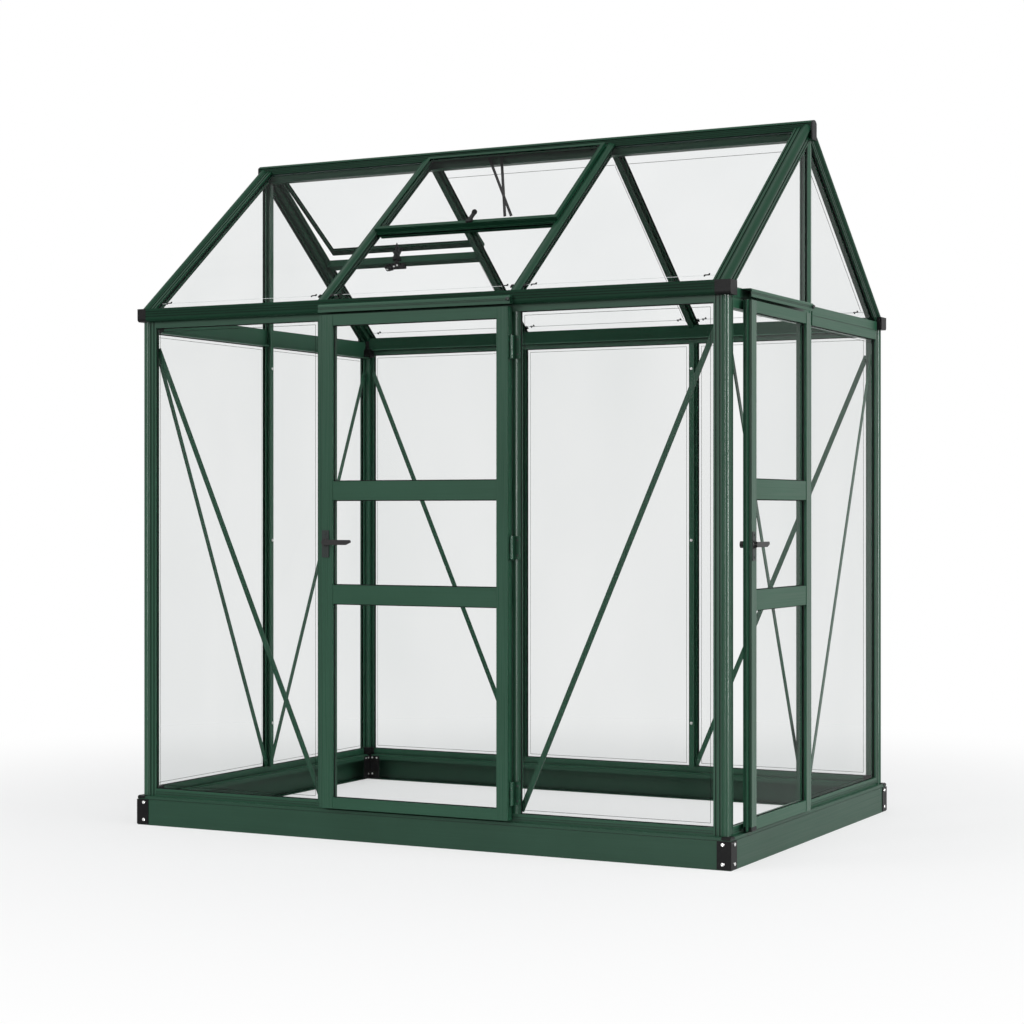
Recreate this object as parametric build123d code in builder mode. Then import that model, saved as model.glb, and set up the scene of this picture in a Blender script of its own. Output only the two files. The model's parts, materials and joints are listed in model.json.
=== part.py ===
from build123d import *
import math
import os

# Aluminium greenhouse on a low base, three bays long and two bays wide.
# Millimetres, +Z up, origin at the middle of the base, +X towards the right gable.

# Base
BASE_LENGTH = 1850
BASE_WIDTH = 1280
BASE_HEIGHT = 83
BASE_SHEET = 2.5
BASE_LEDGE = 50
BASE_LEDGE_LIP = 12
BASE_FOOT = 28
RIM_RADIUS = 4
RIM_RISE = 1
RIM_GROOVE = 1.2
RIM_GROOVE_DROP = 7.5
BRACKET_FACE = 38
BRACKET_SHEET = 1.8
BRACKET_BOTTOM = 2
BRACKET_DROP = 9

# Walls
WALL_INSET = 15
EAVE_UNDERSIDE = 1463
MULLION_OFFSET = 303
SILL_HEIGHT = 22
SILL_GROOVES = (6, 12)
WALL_PLATE_HEIGHT = 18
GABLE_RAIL_DROP = 30
GABLE_RAIL_HEIGHT = 54
RAIL_LEG = 3
GUSSET_HEIGHT = 27

# Glazing and the bars that hold it, depths measured inward from a bar's outer face
PANE = 4
PANE_FIT = 0.3
PANE_PLAY = 2
PANE_DEPTH = 7
SLOT_DEPTH = 8
CAP_WIDTH = 30
CAP_SHOULDER = 3
CAP_BEAD = 10
WEB = 6
INNER_LIP = 2.7
INNER_FLANGE = 26
BAR_DEPTH = 29
BAR_FOOT = 16
BAR_FOOT_SHEET = 3
GROOVE = 1.2
GROOVE_WIDTH = 2.5

# Corner bar, used for the corner posts and along the gable edges of the roof
FLANGE = 39
CORNER_BEAD = 11
CORNER_BEAD_CENTRE = 6
CORNER_BORE = 7
CORNER_WEB = 20
CORNER_WALL = 2.7
FLUTE_WIDTH = 3.5
FLUTE_DEPTH = 2.4
FLUTE_PLACES = (19, 30)

# Eaves
GUTTER_HEIGHT = 38
GUTTER_REACH = 17
GUTTER_SHEET = 2
GUTTER_BEND = 9
GUTTER_LIP = 5
EAVE_BEAM = 14
GUTTER_GROOVES = (14, 21, 28)
END_BLOCK_LEFT = 29
END_BLOCK_RIGHT = 44

# Roof
PITCH = 38.3
ROOF_RISE_AT_WALL = 42
RIDGE_RISE = 5.4
RIDGE_OVERHANG = 8
RIDGE_HALF = 18
RIDGE_WEB = 11
MULLION_TIP = 0.9
RIDGE_BAND = 9
RIDGE_GROOVES = (3, 8, 13)
RIDGE_END_CAP = 4
EAVE_OVERHANG = 6
RAFTER_OVERHANG = 12
VENT_BAR_PLACE = 343
FRONT_VENT_BAR = 20
REAR_VENT_BAR = 34
FRONT_VENT_RAIL = 14
REAR_VENT_RAIL = 24
VENT_SIDE = 11
VENT_DEPTH = 10
VENT_LAP = 6
VENT_SEAT = 12
VENT_TOP_GAP = 12
VENT_TONGUE = 3
VENT_REST = 0.2
VENT_PANE_DEPTH = 4
REAR_VENT_ANGLE = 4.5

# Stays of the vents: crossed arms under the front one, a bracket and a post under the rear one
STAY_ARM_TOPS = (-106, -63)
STAY_ARM_FEET = (117, 97)
STAY_ARM_CLEARANCE = 76
STAY_ARM_LAP = 10
STAY_ARM_WIDTH = 8
STAY_ARM_SHEET = 3
STAY_SET = 20
STAY_SEAT = 0.1
STAY_PLATE = 44
STAY_PLATE_LOW = 5
STAY_PLATE_HIGH = 27
STAY_PLATE_SHEET = 6
STAY_POST = 16
STAY_POST_SHEET = 10
STAY_POST_REACH = 60

# Braces
BRACE_WIDTH = 15
BRACE_SHEET = 3
BRACE_DROP = 78
BRACE_RISE = 7
BRACE_POST_GAP = 8
BRACE_MULLION_REACH = 12

# Doors, sizes shared by both leaves
LEAF_GAP = 5.5
LEAF_DEPTH = 24
LEAF_END_GAP = 6
STILE = 34
END_RAIL = 30
MIDDLE_RAIL = 52
MIDDLE_RAIL_PLACES = (656, 943)
LEAF_SHEET = 2.5
LEAF_LIP = 14
LEAF_LIP_SHEET = 3
LEAF_LIP_DEPTH = 8
LEAF_PANE_DEPTH = 9.5
LEAF_RAIL_SET = 1

# Front door places along X, side door places along Y
FRONT_LEAF_FREE_SET = 19
FRONT_LEAF_HINGED_SET = 7
SIDE_LEAF_FREE_SET = 94
JAMB_WIDTH = 65
JAMB_SHEET = 2.5
JAMB_SHOW = 2

# Hinges
HINGE_HEIGHT = 62
HINGE_FOOT = 71
HINGE_MIDDLE = 815
HINGE_HEAD = 107
HINGE_PIN_GAP = 6.5
HINGE_PIN_OUT = 20
HINGE_BARREL = 4
HINGE_PIN = 2
HINGE_BORE_PLAY = 0.3
HINGE_SHEET = 2
HINGE_PLATE_SHEET = 3
HINGE_PLATE = 17.5
HINGE_PLATE_GAP = 4.5
HINGE_LUG = 4.5
HINGE_ARM_OUT = 15
HINGE_PLAY = 0.5
HINGE_FLAP = 14

# Handles
PLATE_WIDTH = 22
PLATE_HEIGHT = 75
PLATE_SHEET = 2.5
PLATE_INSET = 1
PLATE_CORNER = 2
HANDLE_HEIGHT = 822
SPINDLE_RISE = 4
SPINDLE_RADIUS = 4
SPINDLE_PLAY = 0.3
LEVER_LENGTH = 86
LEVER_HEIGHT = 14
LEVER_TIP_HEIGHT = 7
LEVER_TIP_LENGTH = 16
LEVER_SHEET = 5
LEVER_CORNER = 3
LEVER_GAP = 5
BOSS_RADIUS = 9
KNOB_RADIUS = 9
KNOB_LENGTH = 11

# Door headers
HEADER_HEIGHT = 22
HEADER_OUT = 31
HEADER_RISE = 1
HEADER_SHEET = 2.5
FRONT_HEADER_SET = 6
SIDE_HEADER_LAPS = (3, 18)
HEADER_NOSE = 4

# Sizes that follow from the ones above
WALL_LENGTH = BASE_LENGTH - 2 * WALL_INSET
WALL_WIDTH = BASE_WIDTH - 2 * WALL_INSET
SILL_TOP = BASE_HEIGHT + SILL_HEIGHT
WALL_PLATE_BOTTOM = EAVE_UNDERSIDE - WALL_PLATE_HEIGHT
EAVE_TOP = EAVE_UNDERSIDE + GUTTER_HEIGHT
ROOF_START = EAVE_UNDERSIDE + ROOF_RISE_AT_WALL
SLOPE_COS = math.cos(math.radians(PITCH))
SLOPE_SIN = math.sin(math.radians(PITCH))
SLOPE_TAN = SLOPE_SIN / SLOPE_COS
SLOT_OUTER = PANE_DEPTH - PANE_FIT
SLOT_INNER = PANE_DEPTH + PANE + PANE_FIT
SLOT = PANE + 2 * PANE_FIT
RAIL_DEPTH = SLOT_INNER + INNER_LIP
GABLE_RAIL_BOTTOM = EAVE_UNDERSIDE - GABLE_RAIL_DROP
GABLE_RAIL_TOP = GABLE_RAIL_BOTTOM + GABLE_RAIL_HEIGHT
APEX = ROOF_START + WALL_WIDTH / 2 * SLOPE_TAN
RIDGE_TOP = APEX + RIDGE_RISE
RIDGE_BOTTOM = APEX - FLANGE / SLOPE_COS - MULLION_TIP
RIDGE_LENGTH = WALL_LENGTH + 2 * RIDGE_OVERHANG
BRACKET_TOP = BASE_HEIGHT - BRACKET_DROP
PANE_END = WEB / 2 + PANE_PLAY
CORNER_PANE_END = CORNER_WEB + PANE_PLAY
LEAF_OUT = LEAF_GAP + LEAF_DEPTH
SLOPE_LENGTH = (WALL_WIDTH / 2 - RIDGE_HALF) / SLOPE_COS
VENT_TOP = SLOPE_LENGTH - VENT_TOP_GAP
GABLE_RAIL_END = WALL_WIDTH / 2 - BAR_DEPTH
BRACE_END = MULLION_OFFSET + BRACE_MULLION_REACH
BRACE_TOP = EAVE_UNDERSIDE - BRACE_DROP
BRACE_BOTTOM = SILL_TOP + BRACE_RISE
BRACE_POST_INSET = BAR_DEPTH + BRACE_POST_GAP
LEAF_BOTTOM = BASE_HEIGHT + LEAF_END_GAP
LEAF_TOP = EAVE_UNDERSIDE - LEAF_END_GAP
HINGE_PLACES = (LEAF_BOTTOM + HINGE_FOOT, HINGE_MIDDLE, LEAF_TOP - HINGE_HEAD)
FRONT_LEAF_FREE = FRONT_LEAF_FREE_SET - MULLION_OFFSET
FRONT_LEAF_HINGED = MULLION_OFFSET - FRONT_LEAF_HINGED_SET
SIDE_LEAF_FREE = SIDE_LEAF_FREE_SET - WALL_WIDTH / 2
SIDE_LEAF_HINGED = -CAP_WIDTH / 2 - JAMB_WIDTH
FRONT_HEADER = (FRONT_HEADER_SET - MULLION_OFFSET, MULLION_OFFSET)
SIDE_HEADER = (SIDE_LEAF_FREE - SIDE_HEADER_LAPS[0], SIDE_LEAF_HINGED + SIDE_HEADER_LAPS[1])
CUT = 200

os.makedirs("parts", exist_ok=True)


class Side:
    """One wall, slope or leaf: u runs to the right seen from outside, up runs up along it."""

    def __init__(self, origin, u, up):
        self.origin = Vector(origin)
        self.u = Vector(u)
        self.up = Vector(up)
        self.out = self.u.cross(self.up)

    def point(self, u, up, depth=0):
        return self.origin + self.u * u + self.up * up - self.out * depth

    def along_up(self, u, up, depth=0):
        """Plane across a bar that runs up: local x points left, local y out."""
        return Plane(self.point(u, up, depth), x_dir=self.u * -1, z_dir=self.up)

    def along_u(self, u, up, depth=0):
        """Plane across a rail that runs left from u: local x points out, local y up."""
        return Plane(self.point(u, up, depth), x_dir=self.out, z_dir=self.u * -1)

    def level(self, u, up, depth=0):
        """Level plane across a hinge: local x points right, local y inward."""
        return Plane(self.point(u, up, depth), x_dir=self.u, z_dir=self.up)

    def facing(self, u, up, depth=0):
        """Plane of a sheet: local x points right, local y up."""
        return Plane(self.point(u, up, depth), x_dir=self.u, z_dir=self.out)


FRONT = Side((0, -WALL_WIDTH / 2, 0), (1, 0, 0), (0, 0, 1))
BACK = Side((0, WALL_WIDTH / 2, 0), (-1, 0, 0), (0, 0, 1))
RIGHT = Side((WALL_LENGTH / 2, 0, 0), (0, 1, 0), (0, 0, 1))
LEFT = Side((-WALL_LENGTH / 2, 0, 0), (0, -1, 0), (0, 0, 1))
FRONT_SLOPE = Side((0, -WALL_WIDTH / 2, ROOF_START), (1, 0, 0), (0, SLOPE_COS, SLOPE_SIN))
BACK_SLOPE = Side((0, WALL_WIDTH / 2, ROOF_START), (-1, 0, 0), (0, -SLOPE_COS, SLOPE_SIN))
RIDGE_LINE = Side((0, 0, 0), (1, 0, 0), (0, 0, 1))

LONG_WALLS = (FRONT, BACK)
GABLES = (LEFT, RIGHT)
WALLS = LONG_WALLS + GABLES
SLOPES = (FRONT_SLOPE, BACK_SLOPE)
HALF_LENGTH = WALL_LENGTH / 2
HALF_WIDTH = WALL_WIDTH / 2


def half_span(side):
    """Half a wall's length, from its middle to the corner of the wall planes."""
    return HALF_WIDTH if side in GABLES else HALF_LENGTH


def save(part, label):
    part.label = label
    export_step(part, f"parts/{label}.step")


def run(section, plane, length):
    """Add a straight length of a section that stands on the plane."""
    with BuildSketch(plane) as outline:
        add(section)
    extrude(outline.sketch, amount=length)


def sheet(side, left, right, low, high, depth, thickness):
    """Add a flat sheet whose outer face lies at the depth."""
    with BuildSketch(side.facing((left + right) / 2, (low + high) / 2, depth + thickness)) as outline:
        Rectangle(right - left, high - low)
    extrude(outline.sketch, amount=thickness)


def strip(side, top, foot, width, thickness):
    """Add a flat strip on the inner face of the bars, between two places given as (u, up)."""
    run_u = top[0] - foot[0]
    rise = top[1] - foot[1]
    plane = side.facing((top[0] + foot[0]) / 2, (top[1] + foot[1]) / 2, RAIL_DEPTH)
    with BuildSketch(plane) as outline:
        Rectangle(math.hypot(run_u, rise), width, rotation=math.degrees(math.atan2(rise, run_u)))
    extrude(outline.sketch, amount=-thickness)


def cut_box(low, high):
    """Cut an upright box, given by two opposite corners, from the part."""
    size = Vector(high) - Vector(low)
    with Locations((Vector(high) + Vector(low)) * 0.5):
        Box(size.X, size.Y, size.Z, mode=Mode.SUBTRACT)


def box_section(left, right, low, high):
    """Add a rectangle to the section that is being drawn, given by its edges."""
    with Locations(((left + right) / 2, (low + high) / 2)):
        Rectangle(right - left, high - low)


def box_cut(left, right, low, high):
    """Cut a rectangle from the section that is being drawn, given by its edges."""
    with Locations(((left + right) / 2, (low + high) / 2)):
        Rectangle(right - left, high - low, mode=Mode.SUBTRACT)


# Sections

def bar_section():
    """Glazing bar: a cap with a rounded bead, a slot on each side, inner lips and a foot."""
    with BuildSketch() as section:
        with BuildLine():
            shoulder = (CAP_BEAD, -CAP_SHOULDER)
            ThreePointArc(
                (-CAP_BEAD, -CAP_SHOULDER),
                (0, 0),
                shoulder,
            )
            right_side = Polyline(
                shoulder,
                (CAP_WIDTH / 2, -CAP_SHOULDER),
                (CAP_WIDTH / 2, -SLOT_OUTER),
                (WEB / 2, -SLOT_OUTER),
                (WEB / 2, -SLOT_INNER),
                (INNER_FLANGE / 2, -SLOT_INNER),
                (INNER_FLANGE / 2, -RAIL_DEPTH),
                (WEB / 2, -RAIL_DEPTH),
                (WEB / 2, BAR_FOOT_SHEET - BAR_DEPTH),
                (BAR_FOOT / 2, BAR_FOOT_SHEET - BAR_DEPTH),
                (BAR_FOOT / 2, -BAR_DEPTH),
                (0, -BAR_DEPTH),
            )
            mirror(right_side, about=Plane.YZ)
        make_face()
    return section.sketch


def corner_section():
    """Corner bar: x and y run inward along the two glazed planes from their corner."""
    with BuildSketch() as section:
        for turn in (0, 1):
            places = [(CORNER_BEAD_CENTRE, FLANGE, 0, SLOT_OUTER), (BAR_DEPTH, FLANGE, SLOT_INNER, RAIL_DEPTH)]
            for low, high, near, far in places:
                if turn:
                    box_section(near, far, low, high)
                else:
                    box_section(low, high, near, far)
        box_section(0, BAR_DEPTH, 0, BAR_DEPTH)
        chamber = BAR_DEPTH - CORNER_WALL
        box_cut(RAIL_DEPTH, chamber, RAIL_DEPTH, chamber)
        for turn in (0, 1):
            slot = (CORNER_WEB, BAR_DEPTH, SLOT_OUTER, SLOT_INNER)
            if turn:
                slot = slot[2:] + slot[:2]
            box_cut(*slot)
            for place in FLUTE_PLACES:
                flute = (place, place + FLUTE_WIDTH, 0, FLUTE_DEPTH)
                if turn:
                    flute = flute[2:] + flute[:2]
                box_cut(*flute)
        with Locations((CORNER_BEAD_CENTRE, CORNER_BEAD_CENTRE)):
            Circle(CORNER_BEAD)
            Circle(CORNER_BORE, mode=Mode.SUBTRACT)
    return section.sketch


def rail_section(height, slot_at_top, slot_at_bottom, grooves):
    """Rail between local y 0 and height, with pane slots, grooves outside and a leg inside."""
    with BuildSketch() as section:
        box_section(-RAIL_DEPTH, 0, 0, height)
        leg_low = 0 if slot_at_top else height - RAIL_LEG
        box_section(-BAR_DEPTH, -RAIL_DEPTH, leg_low, leg_low + RAIL_LEG)
        if slot_at_top:
            box_cut(-SLOT_INNER, -SLOT_OUTER, height - SLOT_DEPTH, height)
        if slot_at_bottom:
            box_cut(-SLOT_INNER, -SLOT_OUTER, 0, SLOT_DEPTH)
        for place in grooves:
            box_cut(-GROOVE, 0, place, place + GROOVE_WIDTH)
    return section.sketch


def base_section():
    """Base rail: outer sheet with a rim bead, a ledge on top and a foot, all open inside."""
    with BuildSketch() as section:
        box_section(-BASE_SHEET, 0, 0, BASE_HEIGHT)
        box_section(-BASE_LEDGE, 0, BASE_HEIGHT - BASE_SHEET, BASE_HEIGHT)
        box_section(-BASE_LEDGE, BASE_SHEET - BASE_LEDGE, BASE_HEIGHT - BASE_LEDGE_LIP, BASE_HEIGHT)
        box_section(-BASE_FOOT, 0, 0, BASE_SHEET)
        with Locations((-RIM_RADIUS, BASE_HEIGHT + RIM_RISE - RIM_RADIUS)):
            Circle(RIM_RADIUS)
        groove_top = BASE_HEIGHT - RIM_GROOVE_DROP
        box_cut(-RIM_GROOVE, 0, groove_top - RIM_GROOVE, groove_top)
    return section.sketch


def gutter_section(closed):
    """Gutter and eave beam: local x 0 is the wall plane, local y 0 the gutter's underside."""
    with BuildSketch() as section:
        box_section(-BAR_DEPTH, GUTTER_REACH, 0, GUTTER_HEIGHT)
        outer_corner = section.vertices().filter_by_position(Axis.X, GUTTER_REACH - 1, GUTTER_REACH + 1)
        fillet(outer_corner.sort_by(Axis.Y)[0], GUTTER_BEND)
        if not closed:
            beam_out = EAVE_BEAM - BAR_DEPTH
            with BuildSketch(mode=Mode.SUBTRACT) as channel:
                box_section(beam_out, GUTTER_REACH - GUTTER_SHEET, GUTTER_SHEET, GUTTER_HEIGHT)
                inner_corner = channel.vertices().filter_by_position(Axis.X, 0, GUTTER_REACH)
                fillet(inner_corner.sort_by(Axis.Y)[0], GUTTER_BEND - GUTTER_SHEET)
            box_cut(
                GUTTER_SHEET - BAR_DEPTH,
                beam_out - GUTTER_SHEET,
                GUTTER_SHEET,
                GUTTER_HEIGHT - GUTTER_SHEET,
            )
            box_section(GUTTER_REACH - GUTTER_LIP, GUTTER_REACH, GUTTER_HEIGHT - GUTTER_SHEET, GUTTER_HEIGHT)
            for place in GUTTER_GROOVES:
                box_cut(GUTTER_REACH - GROOVE, GUTTER_REACH, place, place + GROOVE_WIDTH)
    return section.sketch


def ridge_section():
    """Ridge beam, drawn about its middle line with local y as height above the floor."""
    with BuildSketch() as section:
        with BuildLine():
            crown = ThreePointArc(
                (-RIDGE_HALF, RIDGE_TOP - RIDGE_BAND),
                (0, RIDGE_TOP),
                (RIDGE_HALF, RIDGE_TOP - RIDGE_BAND),
            )
            Line(crown @ 1, crown @ 0)
        make_face()
        box_section(-RIDGE_WEB, RIDGE_WEB, RIDGE_BOTTOM, RIDGE_TOP - RIDGE_BAND)
        band_top = RIDGE_TOP - RIDGE_BAND - GROOVE_WIDTH
        band_low = band_top - 2 * RIDGE_BAND
        box_section(-RIDGE_HALF, RIDGE_HALF, band_low, band_top)
        for place in RIDGE_GROOVES:
            box_cut(-RIDGE_HALF, GROOVE - RIDGE_HALF, band_low + place, band_low + place + GROOVE_WIDTH)
            box_cut(RIDGE_HALF - GROOVE, RIDGE_HALF, band_low + place, band_low + place + GROOVE_WIDTH)
        box_section(-RIDGE_HALF, RIDGE_HALF, RIDGE_BOTTOM, RIDGE_BOTTOM + RAIL_LEG)
        wall = BASE_SHEET
        box_cut(wall - RIDGE_WEB, RIDGE_WEB - wall, RIDGE_BOTTOM + wall, RIDGE_TOP - RIDGE_BAND - wall)
    return section.sketch


BAR = bar_section()
CORNER = corner_section()
SILL = rail_section(SILL_HEIGHT, True, False, SILL_GROOVES)
WALL_PLATE = rail_section(WALL_PLATE_HEIGHT, False, True, ())
GABLE_RAIL = rail_section(GABLE_RAIL_HEIGHT, True, True, (GABLE_RAIL_HEIGHT / 2 - GROOVE,))
BASE_RAIL = base_section()
GUTTER = gutter_section(closed=False)
GUTTER_END = gutter_section(closed=True)
RIDGE = ridge_section()


# Base rails, mitred at the corners
for wall, name in ((FRONT, "front"), (BACK, "back"), (LEFT, "left"), (RIGHT, "right")):
    reach = half_span(wall) + WALL_INSET
    with BuildPart() as base_rail:
        run(BASE_RAIL, wall.along_u(reach, 0, -WALL_INSET), 2 * reach)
        for end in (1, -1):
            corner = wall.point(end * reach, 0, -WALL_INSET)
            split(bisect_by=Plane(corner, z_dir=wall.out - wall.u * end), keep=Keep.TOP)
    save(base_rail.part, f"base_{name}")

# Plastic brackets wrapped round the corners of the base
with BuildPart() as base_corners:
    outer = BRACKET_FACE + BRACKET_SHEET
    for x_side in (-1, 1):
        for y_side in (-1, 1):
            corner_x = x_side * (BASE_LENGTH / 2 + BRACKET_SHEET - outer / 2)
            corner_y = y_side * (BASE_WIDTH / 2 + BRACKET_SHEET - outer / 2)
            with BuildSketch(Plane.XY.offset(BRACKET_BOTTOM)):
                with Locations((corner_x, corner_y)):
                    Rectangle(outer, outer)
                with Locations((corner_x - x_side * BRACKET_SHEET, corner_y - y_side * BRACKET_SHEET)):
                    Rectangle(outer, outer, mode=Mode.SUBTRACT)
            extrude(amount=BRACKET_TOP - BRACKET_BOTTOM)
save(base_corners.part, "base_corners")

# Corner posts
with BuildPart() as corner_posts:
    for x_side in (-1, 1):
        for y_side in (-1, 1):
            start = BASE_HEIGHT if x_side == y_side else EAVE_UNDERSIDE
            corner = Vector(x_side * HALF_LENGTH, y_side * HALF_WIDTH, start)
            plane = Plane(corner, x_dir=(-x_side, 0, 0), z_dir=(0, 0, x_side * y_side))
            run(CORNER, plane, EAVE_UNDERSIDE - BASE_HEIGHT)
save(corner_posts.part, "corner_posts")

# Mullions of the long walls
with BuildPart() as long_wall_mullions:
    for wall in LONG_WALLS:
        for place in (-MULLION_OFFSET, MULLION_OFFSET):
            run(BAR, wall.along_up(place, SILL_TOP), WALL_PLATE_BOTTOM - SILL_TOP)
save(long_wall_mullions.part, "long_wall_mullions")

# Middle mullions of the gables, pointed at the top to fit between the sloping bars
with BuildPart() as gable_mullions:
    for wall in GABLES:
        run(BAR, wall.along_up(0, SILL_TOP), RIDGE_BOTTOM - SILL_TOP)
    for slope in SLOPES:
        under_flange = Vector(0, 0, APEX - FLANGE / SLOPE_COS)
        split(bisect_by=Plane(under_flange, z_dir=slope.out), keep=Keep.BOTTOM)
save(gable_mullions.part, "gable_mullions")

# Sill rails
with BuildPart() as sill_rails:
    for wall in WALLS:
        end = half_span(wall) - FLANGE
        run(SILL, wall.along_u(end, BASE_HEIGHT), 2 * end)
save(sill_rails.part, "sill_rails")

# Wall plates below the gutters
with BuildPart() as wall_plates:
    for wall in LONG_WALLS:
        end = half_span(wall) - FLANGE
        run(WALL_PLATE, wall.along_u(end, WALL_PLATE_BOTTOM), 2 * end)
save(wall_plates.part, "wall_plates")

# Rails across the gables, notched round the corner posts
with BuildPart() as gable_rails:
    for wall in GABLES:
        for right_end in (-CAP_WIDTH / 2, GABLE_RAIL_END):
            run(GABLE_RAIL, wall.along_u(right_end, GABLE_RAIL_BOTTOM), GABLE_RAIL_END - CAP_WIDTH / 2)
    for y_side in (-1, 1):
        near = y_side * (HALF_WIDTH - FLANGE)
        far = y_side * HALF_WIDTH
        cut_box(
            (-BASE_LENGTH, min(near, far), GABLE_RAIL_BOTTOM - CUT),
            (BASE_LENGTH, max(near, far), EAVE_UNDERSIDE),
        )
save(gable_rails.part, "gable_rails")

# Gussets round the inner corners of the posts, on the sill rails and under the eaves
with BuildPart() as corner_gussets:
    arm = FLANGE - RAIL_DEPTH
    notch = BAR_DEPTH - RAIL_DEPTH
    for x_side in (-1, 1):
        for y_side in (-1, 1):
            outer_x = x_side * (HALF_LENGTH - RAIL_DEPTH)
            outer_y = y_side * (HALF_WIDTH - RAIL_DEPTH)
            for low in (BASE_HEIGHT, EAVE_UNDERSIDE - GUSSET_HEIGHT):
                with BuildSketch(Plane.XY.offset(low)):
                    with Locations((outer_x - x_side * arm / 2, outer_y - y_side * arm / 2)):
                        Rectangle(arm, arm)
                    with Locations((outer_x - x_side * notch / 2, outer_y - y_side * notch / 2)):
                        Rectangle(notch, notch, mode=Mode.SUBTRACT)
                extrude(amount=GUSSET_HEIGHT)
save(corner_gussets.part, "corner_gussets")

# Gutters and their end blocks
for wall, name in ((FRONT, "front_gutter"), (BACK, "back_gutter")):
    right_end = BASE_LENGTH / 2 - END_BLOCK_RIGHT
    with BuildPart() as gutter:
        run(GUTTER, wall.along_u(right_end, EAVE_UNDERSIDE), BASE_LENGTH - END_BLOCK_RIGHT - END_BLOCK_LEFT)
    save(gutter.part, name)

with BuildPart() as gutter_ends:
    for wall in LONG_WALLS:
        run(GUTTER_END, wall.along_u(BASE_LENGTH / 2, EAVE_UNDERSIDE), END_BLOCK_LEFT)
        open_end = BASE_LENGTH / 2 - END_BLOCK_LEFT
        run(GUTTER, wall.along_u(open_end, EAVE_UNDERSIDE), END_BLOCK_RIGHT - END_BLOCK_LEFT)
        run(GUTTER_END, wall.along_u(END_BLOCK_LEFT - BASE_LENGTH / 2, EAVE_UNDERSIDE), END_BLOCK_LEFT)
save(gutter_ends.part, "gutter_ends")

# Ridge beam and its end caps
with BuildPart() as ridge_beam:
    run(RIDGE, RIDGE_LINE.along_u(RIDGE_LENGTH / 2, 0), RIDGE_LENGTH)
save(ridge_beam.part, "ridge_beam")

with BuildPart() as ridge_caps:
    for right_end in (RIDGE_LENGTH / 2 + RIDGE_END_CAP, -RIDGE_LENGTH / 2):
        with BuildSketch(RIDGE_LINE.along_u(right_end, 0)):
            with BuildLine():
                crown = ThreePointArc(
                    (-RIDGE_HALF, RIDGE_TOP - RIDGE_BAND),
                    (0, RIDGE_TOP),
                    (RIDGE_HALF, RIDGE_TOP - RIDGE_BAND),
                )
                Polyline(crown @ 1, (RIDGE_HALF, RIDGE_BOTTOM), (-RIDGE_HALF, RIDGE_BOTTOM), crown @ 0)
            make_face()
        extrude(amount=RIDGE_END_CAP)
save(ridge_caps.part, "ridge_caps")


def trim_rafters():
    """Cut the feet level on the eave beams and the tops upright against the ridge."""
    for y_side in (-1, 1):
        inner = y_side * (HALF_WIDTH - BAR_DEPTH)
        outer = y_side * BASE_WIDTH
        cut_box(
            (-BASE_LENGTH, min(inner, outer), EAVE_TOP - CUT),
            (BASE_LENGTH, max(inner, outer), EAVE_TOP),
        )
    cut_box((-BASE_LENGTH, -RIDGE_HALF, RIDGE_BOTTOM), (BASE_LENGTH, RIDGE_HALF, RIDGE_TOP + CUT))


# Rafters between the bays
with BuildPart() as roof_rafters:
    for slope in SLOPES:
        for place in (-MULLION_OFFSET, MULLION_OFFSET):
            run(BAR, slope.along_up(place, -RAFTER_OVERHANG), SLOPE_LENGTH + RAFTER_OVERHANG)
    trim_rafters()
save(roof_rafters.part, "roof_rafters")

# Corner bars along the gable edges of the roof, meeting at the ridge
for slope, name in ((FRONT_SLOPE, "front_verges"), (BACK_SLOPE, "back_verges")):
    top = HALF_WIDTH / SLOPE_COS + FLANGE
    with BuildPart() as verges:
        for x_side in (-1, 1):
            inward = Vector(-x_side, 0, 0)
            rising = inward.cross(slope.out * -1)
            start = -RAFTER_OVERHANG if rising.dot(slope.up) > 0 else top
            foot = slope.origin + Vector(x_side * HALF_LENGTH, 0, 0)
            run(CORNER, Plane(foot + slope.up * start, x_dir=inward, z_dir=rising), top + RAFTER_OVERHANG)
        split(bisect_by=Plane((0, 0, 0), z_dir=(0, slope.origin.Y, 0)), keep=Keep.TOP)
        trim_rafters()
        for y_side in (-1, 1):
            inner = y_side * CUT
            outer = y_side * (HALF_WIDTH - BAR_DEPTH)
            cut_box(
                (-BASE_LENGTH, min(inner, outer), GABLE_RAIL_BOTTOM - CUT),
                (BASE_LENGTH, max(inner, outer), GABLE_RAIL_TOP),
            )
    save(verges.part, name)

# Panes of the walls
long_low = SILL_TOP - SLOT_DEPTH + PANE_PLAY
long_high = WALL_PLATE_BOTTOM + SLOT_DEPTH - PANE_PLAY
outer_end = HALF_LENGTH - CORNER_PANE_END
bay_end = MULLION_OFFSET + PANE_END
middle_end = MULLION_OFFSET - PANE_END
with BuildPart() as long_wall_glazing:
    for wall in LONG_WALLS:
        sheet(wall, -outer_end, -bay_end, long_low, long_high, PANE_DEPTH, PANE)
        sheet(wall, bay_end, outer_end, long_low, long_high, PANE_DEPTH, PANE)
    sheet(BACK, -middle_end, middle_end, long_low, long_high, PANE_DEPTH, PANE)
save(long_wall_glazing.part, "long_wall_glazing")

gable_high = GABLE_RAIL_BOTTOM + SLOT_DEPTH - PANE_PLAY
gable_end = HALF_WIDTH - CORNER_PANE_END
with BuildPart() as gable_glazing:
    sheet(LEFT, -gable_end, -PANE_END, long_low, gable_high, PANE_DEPTH, PANE)
    sheet(LEFT, PANE_END, gable_end, long_low, gable_high, PANE_DEPTH, PANE)
    sheet(RIGHT, PANE_END, gable_end, long_low, gable_high, PANE_DEPTH, PANE)
save(gable_glazing.part, "gable_glazing")

# Panes of the gable points
point_low = GABLE_RAIL_TOP - SLOT_DEPTH + PANE_PLAY
point_high = RIDGE_BOTTOM - PANE_PLAY
point_end = GABLE_RAIL_END - PANE_PLAY


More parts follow.
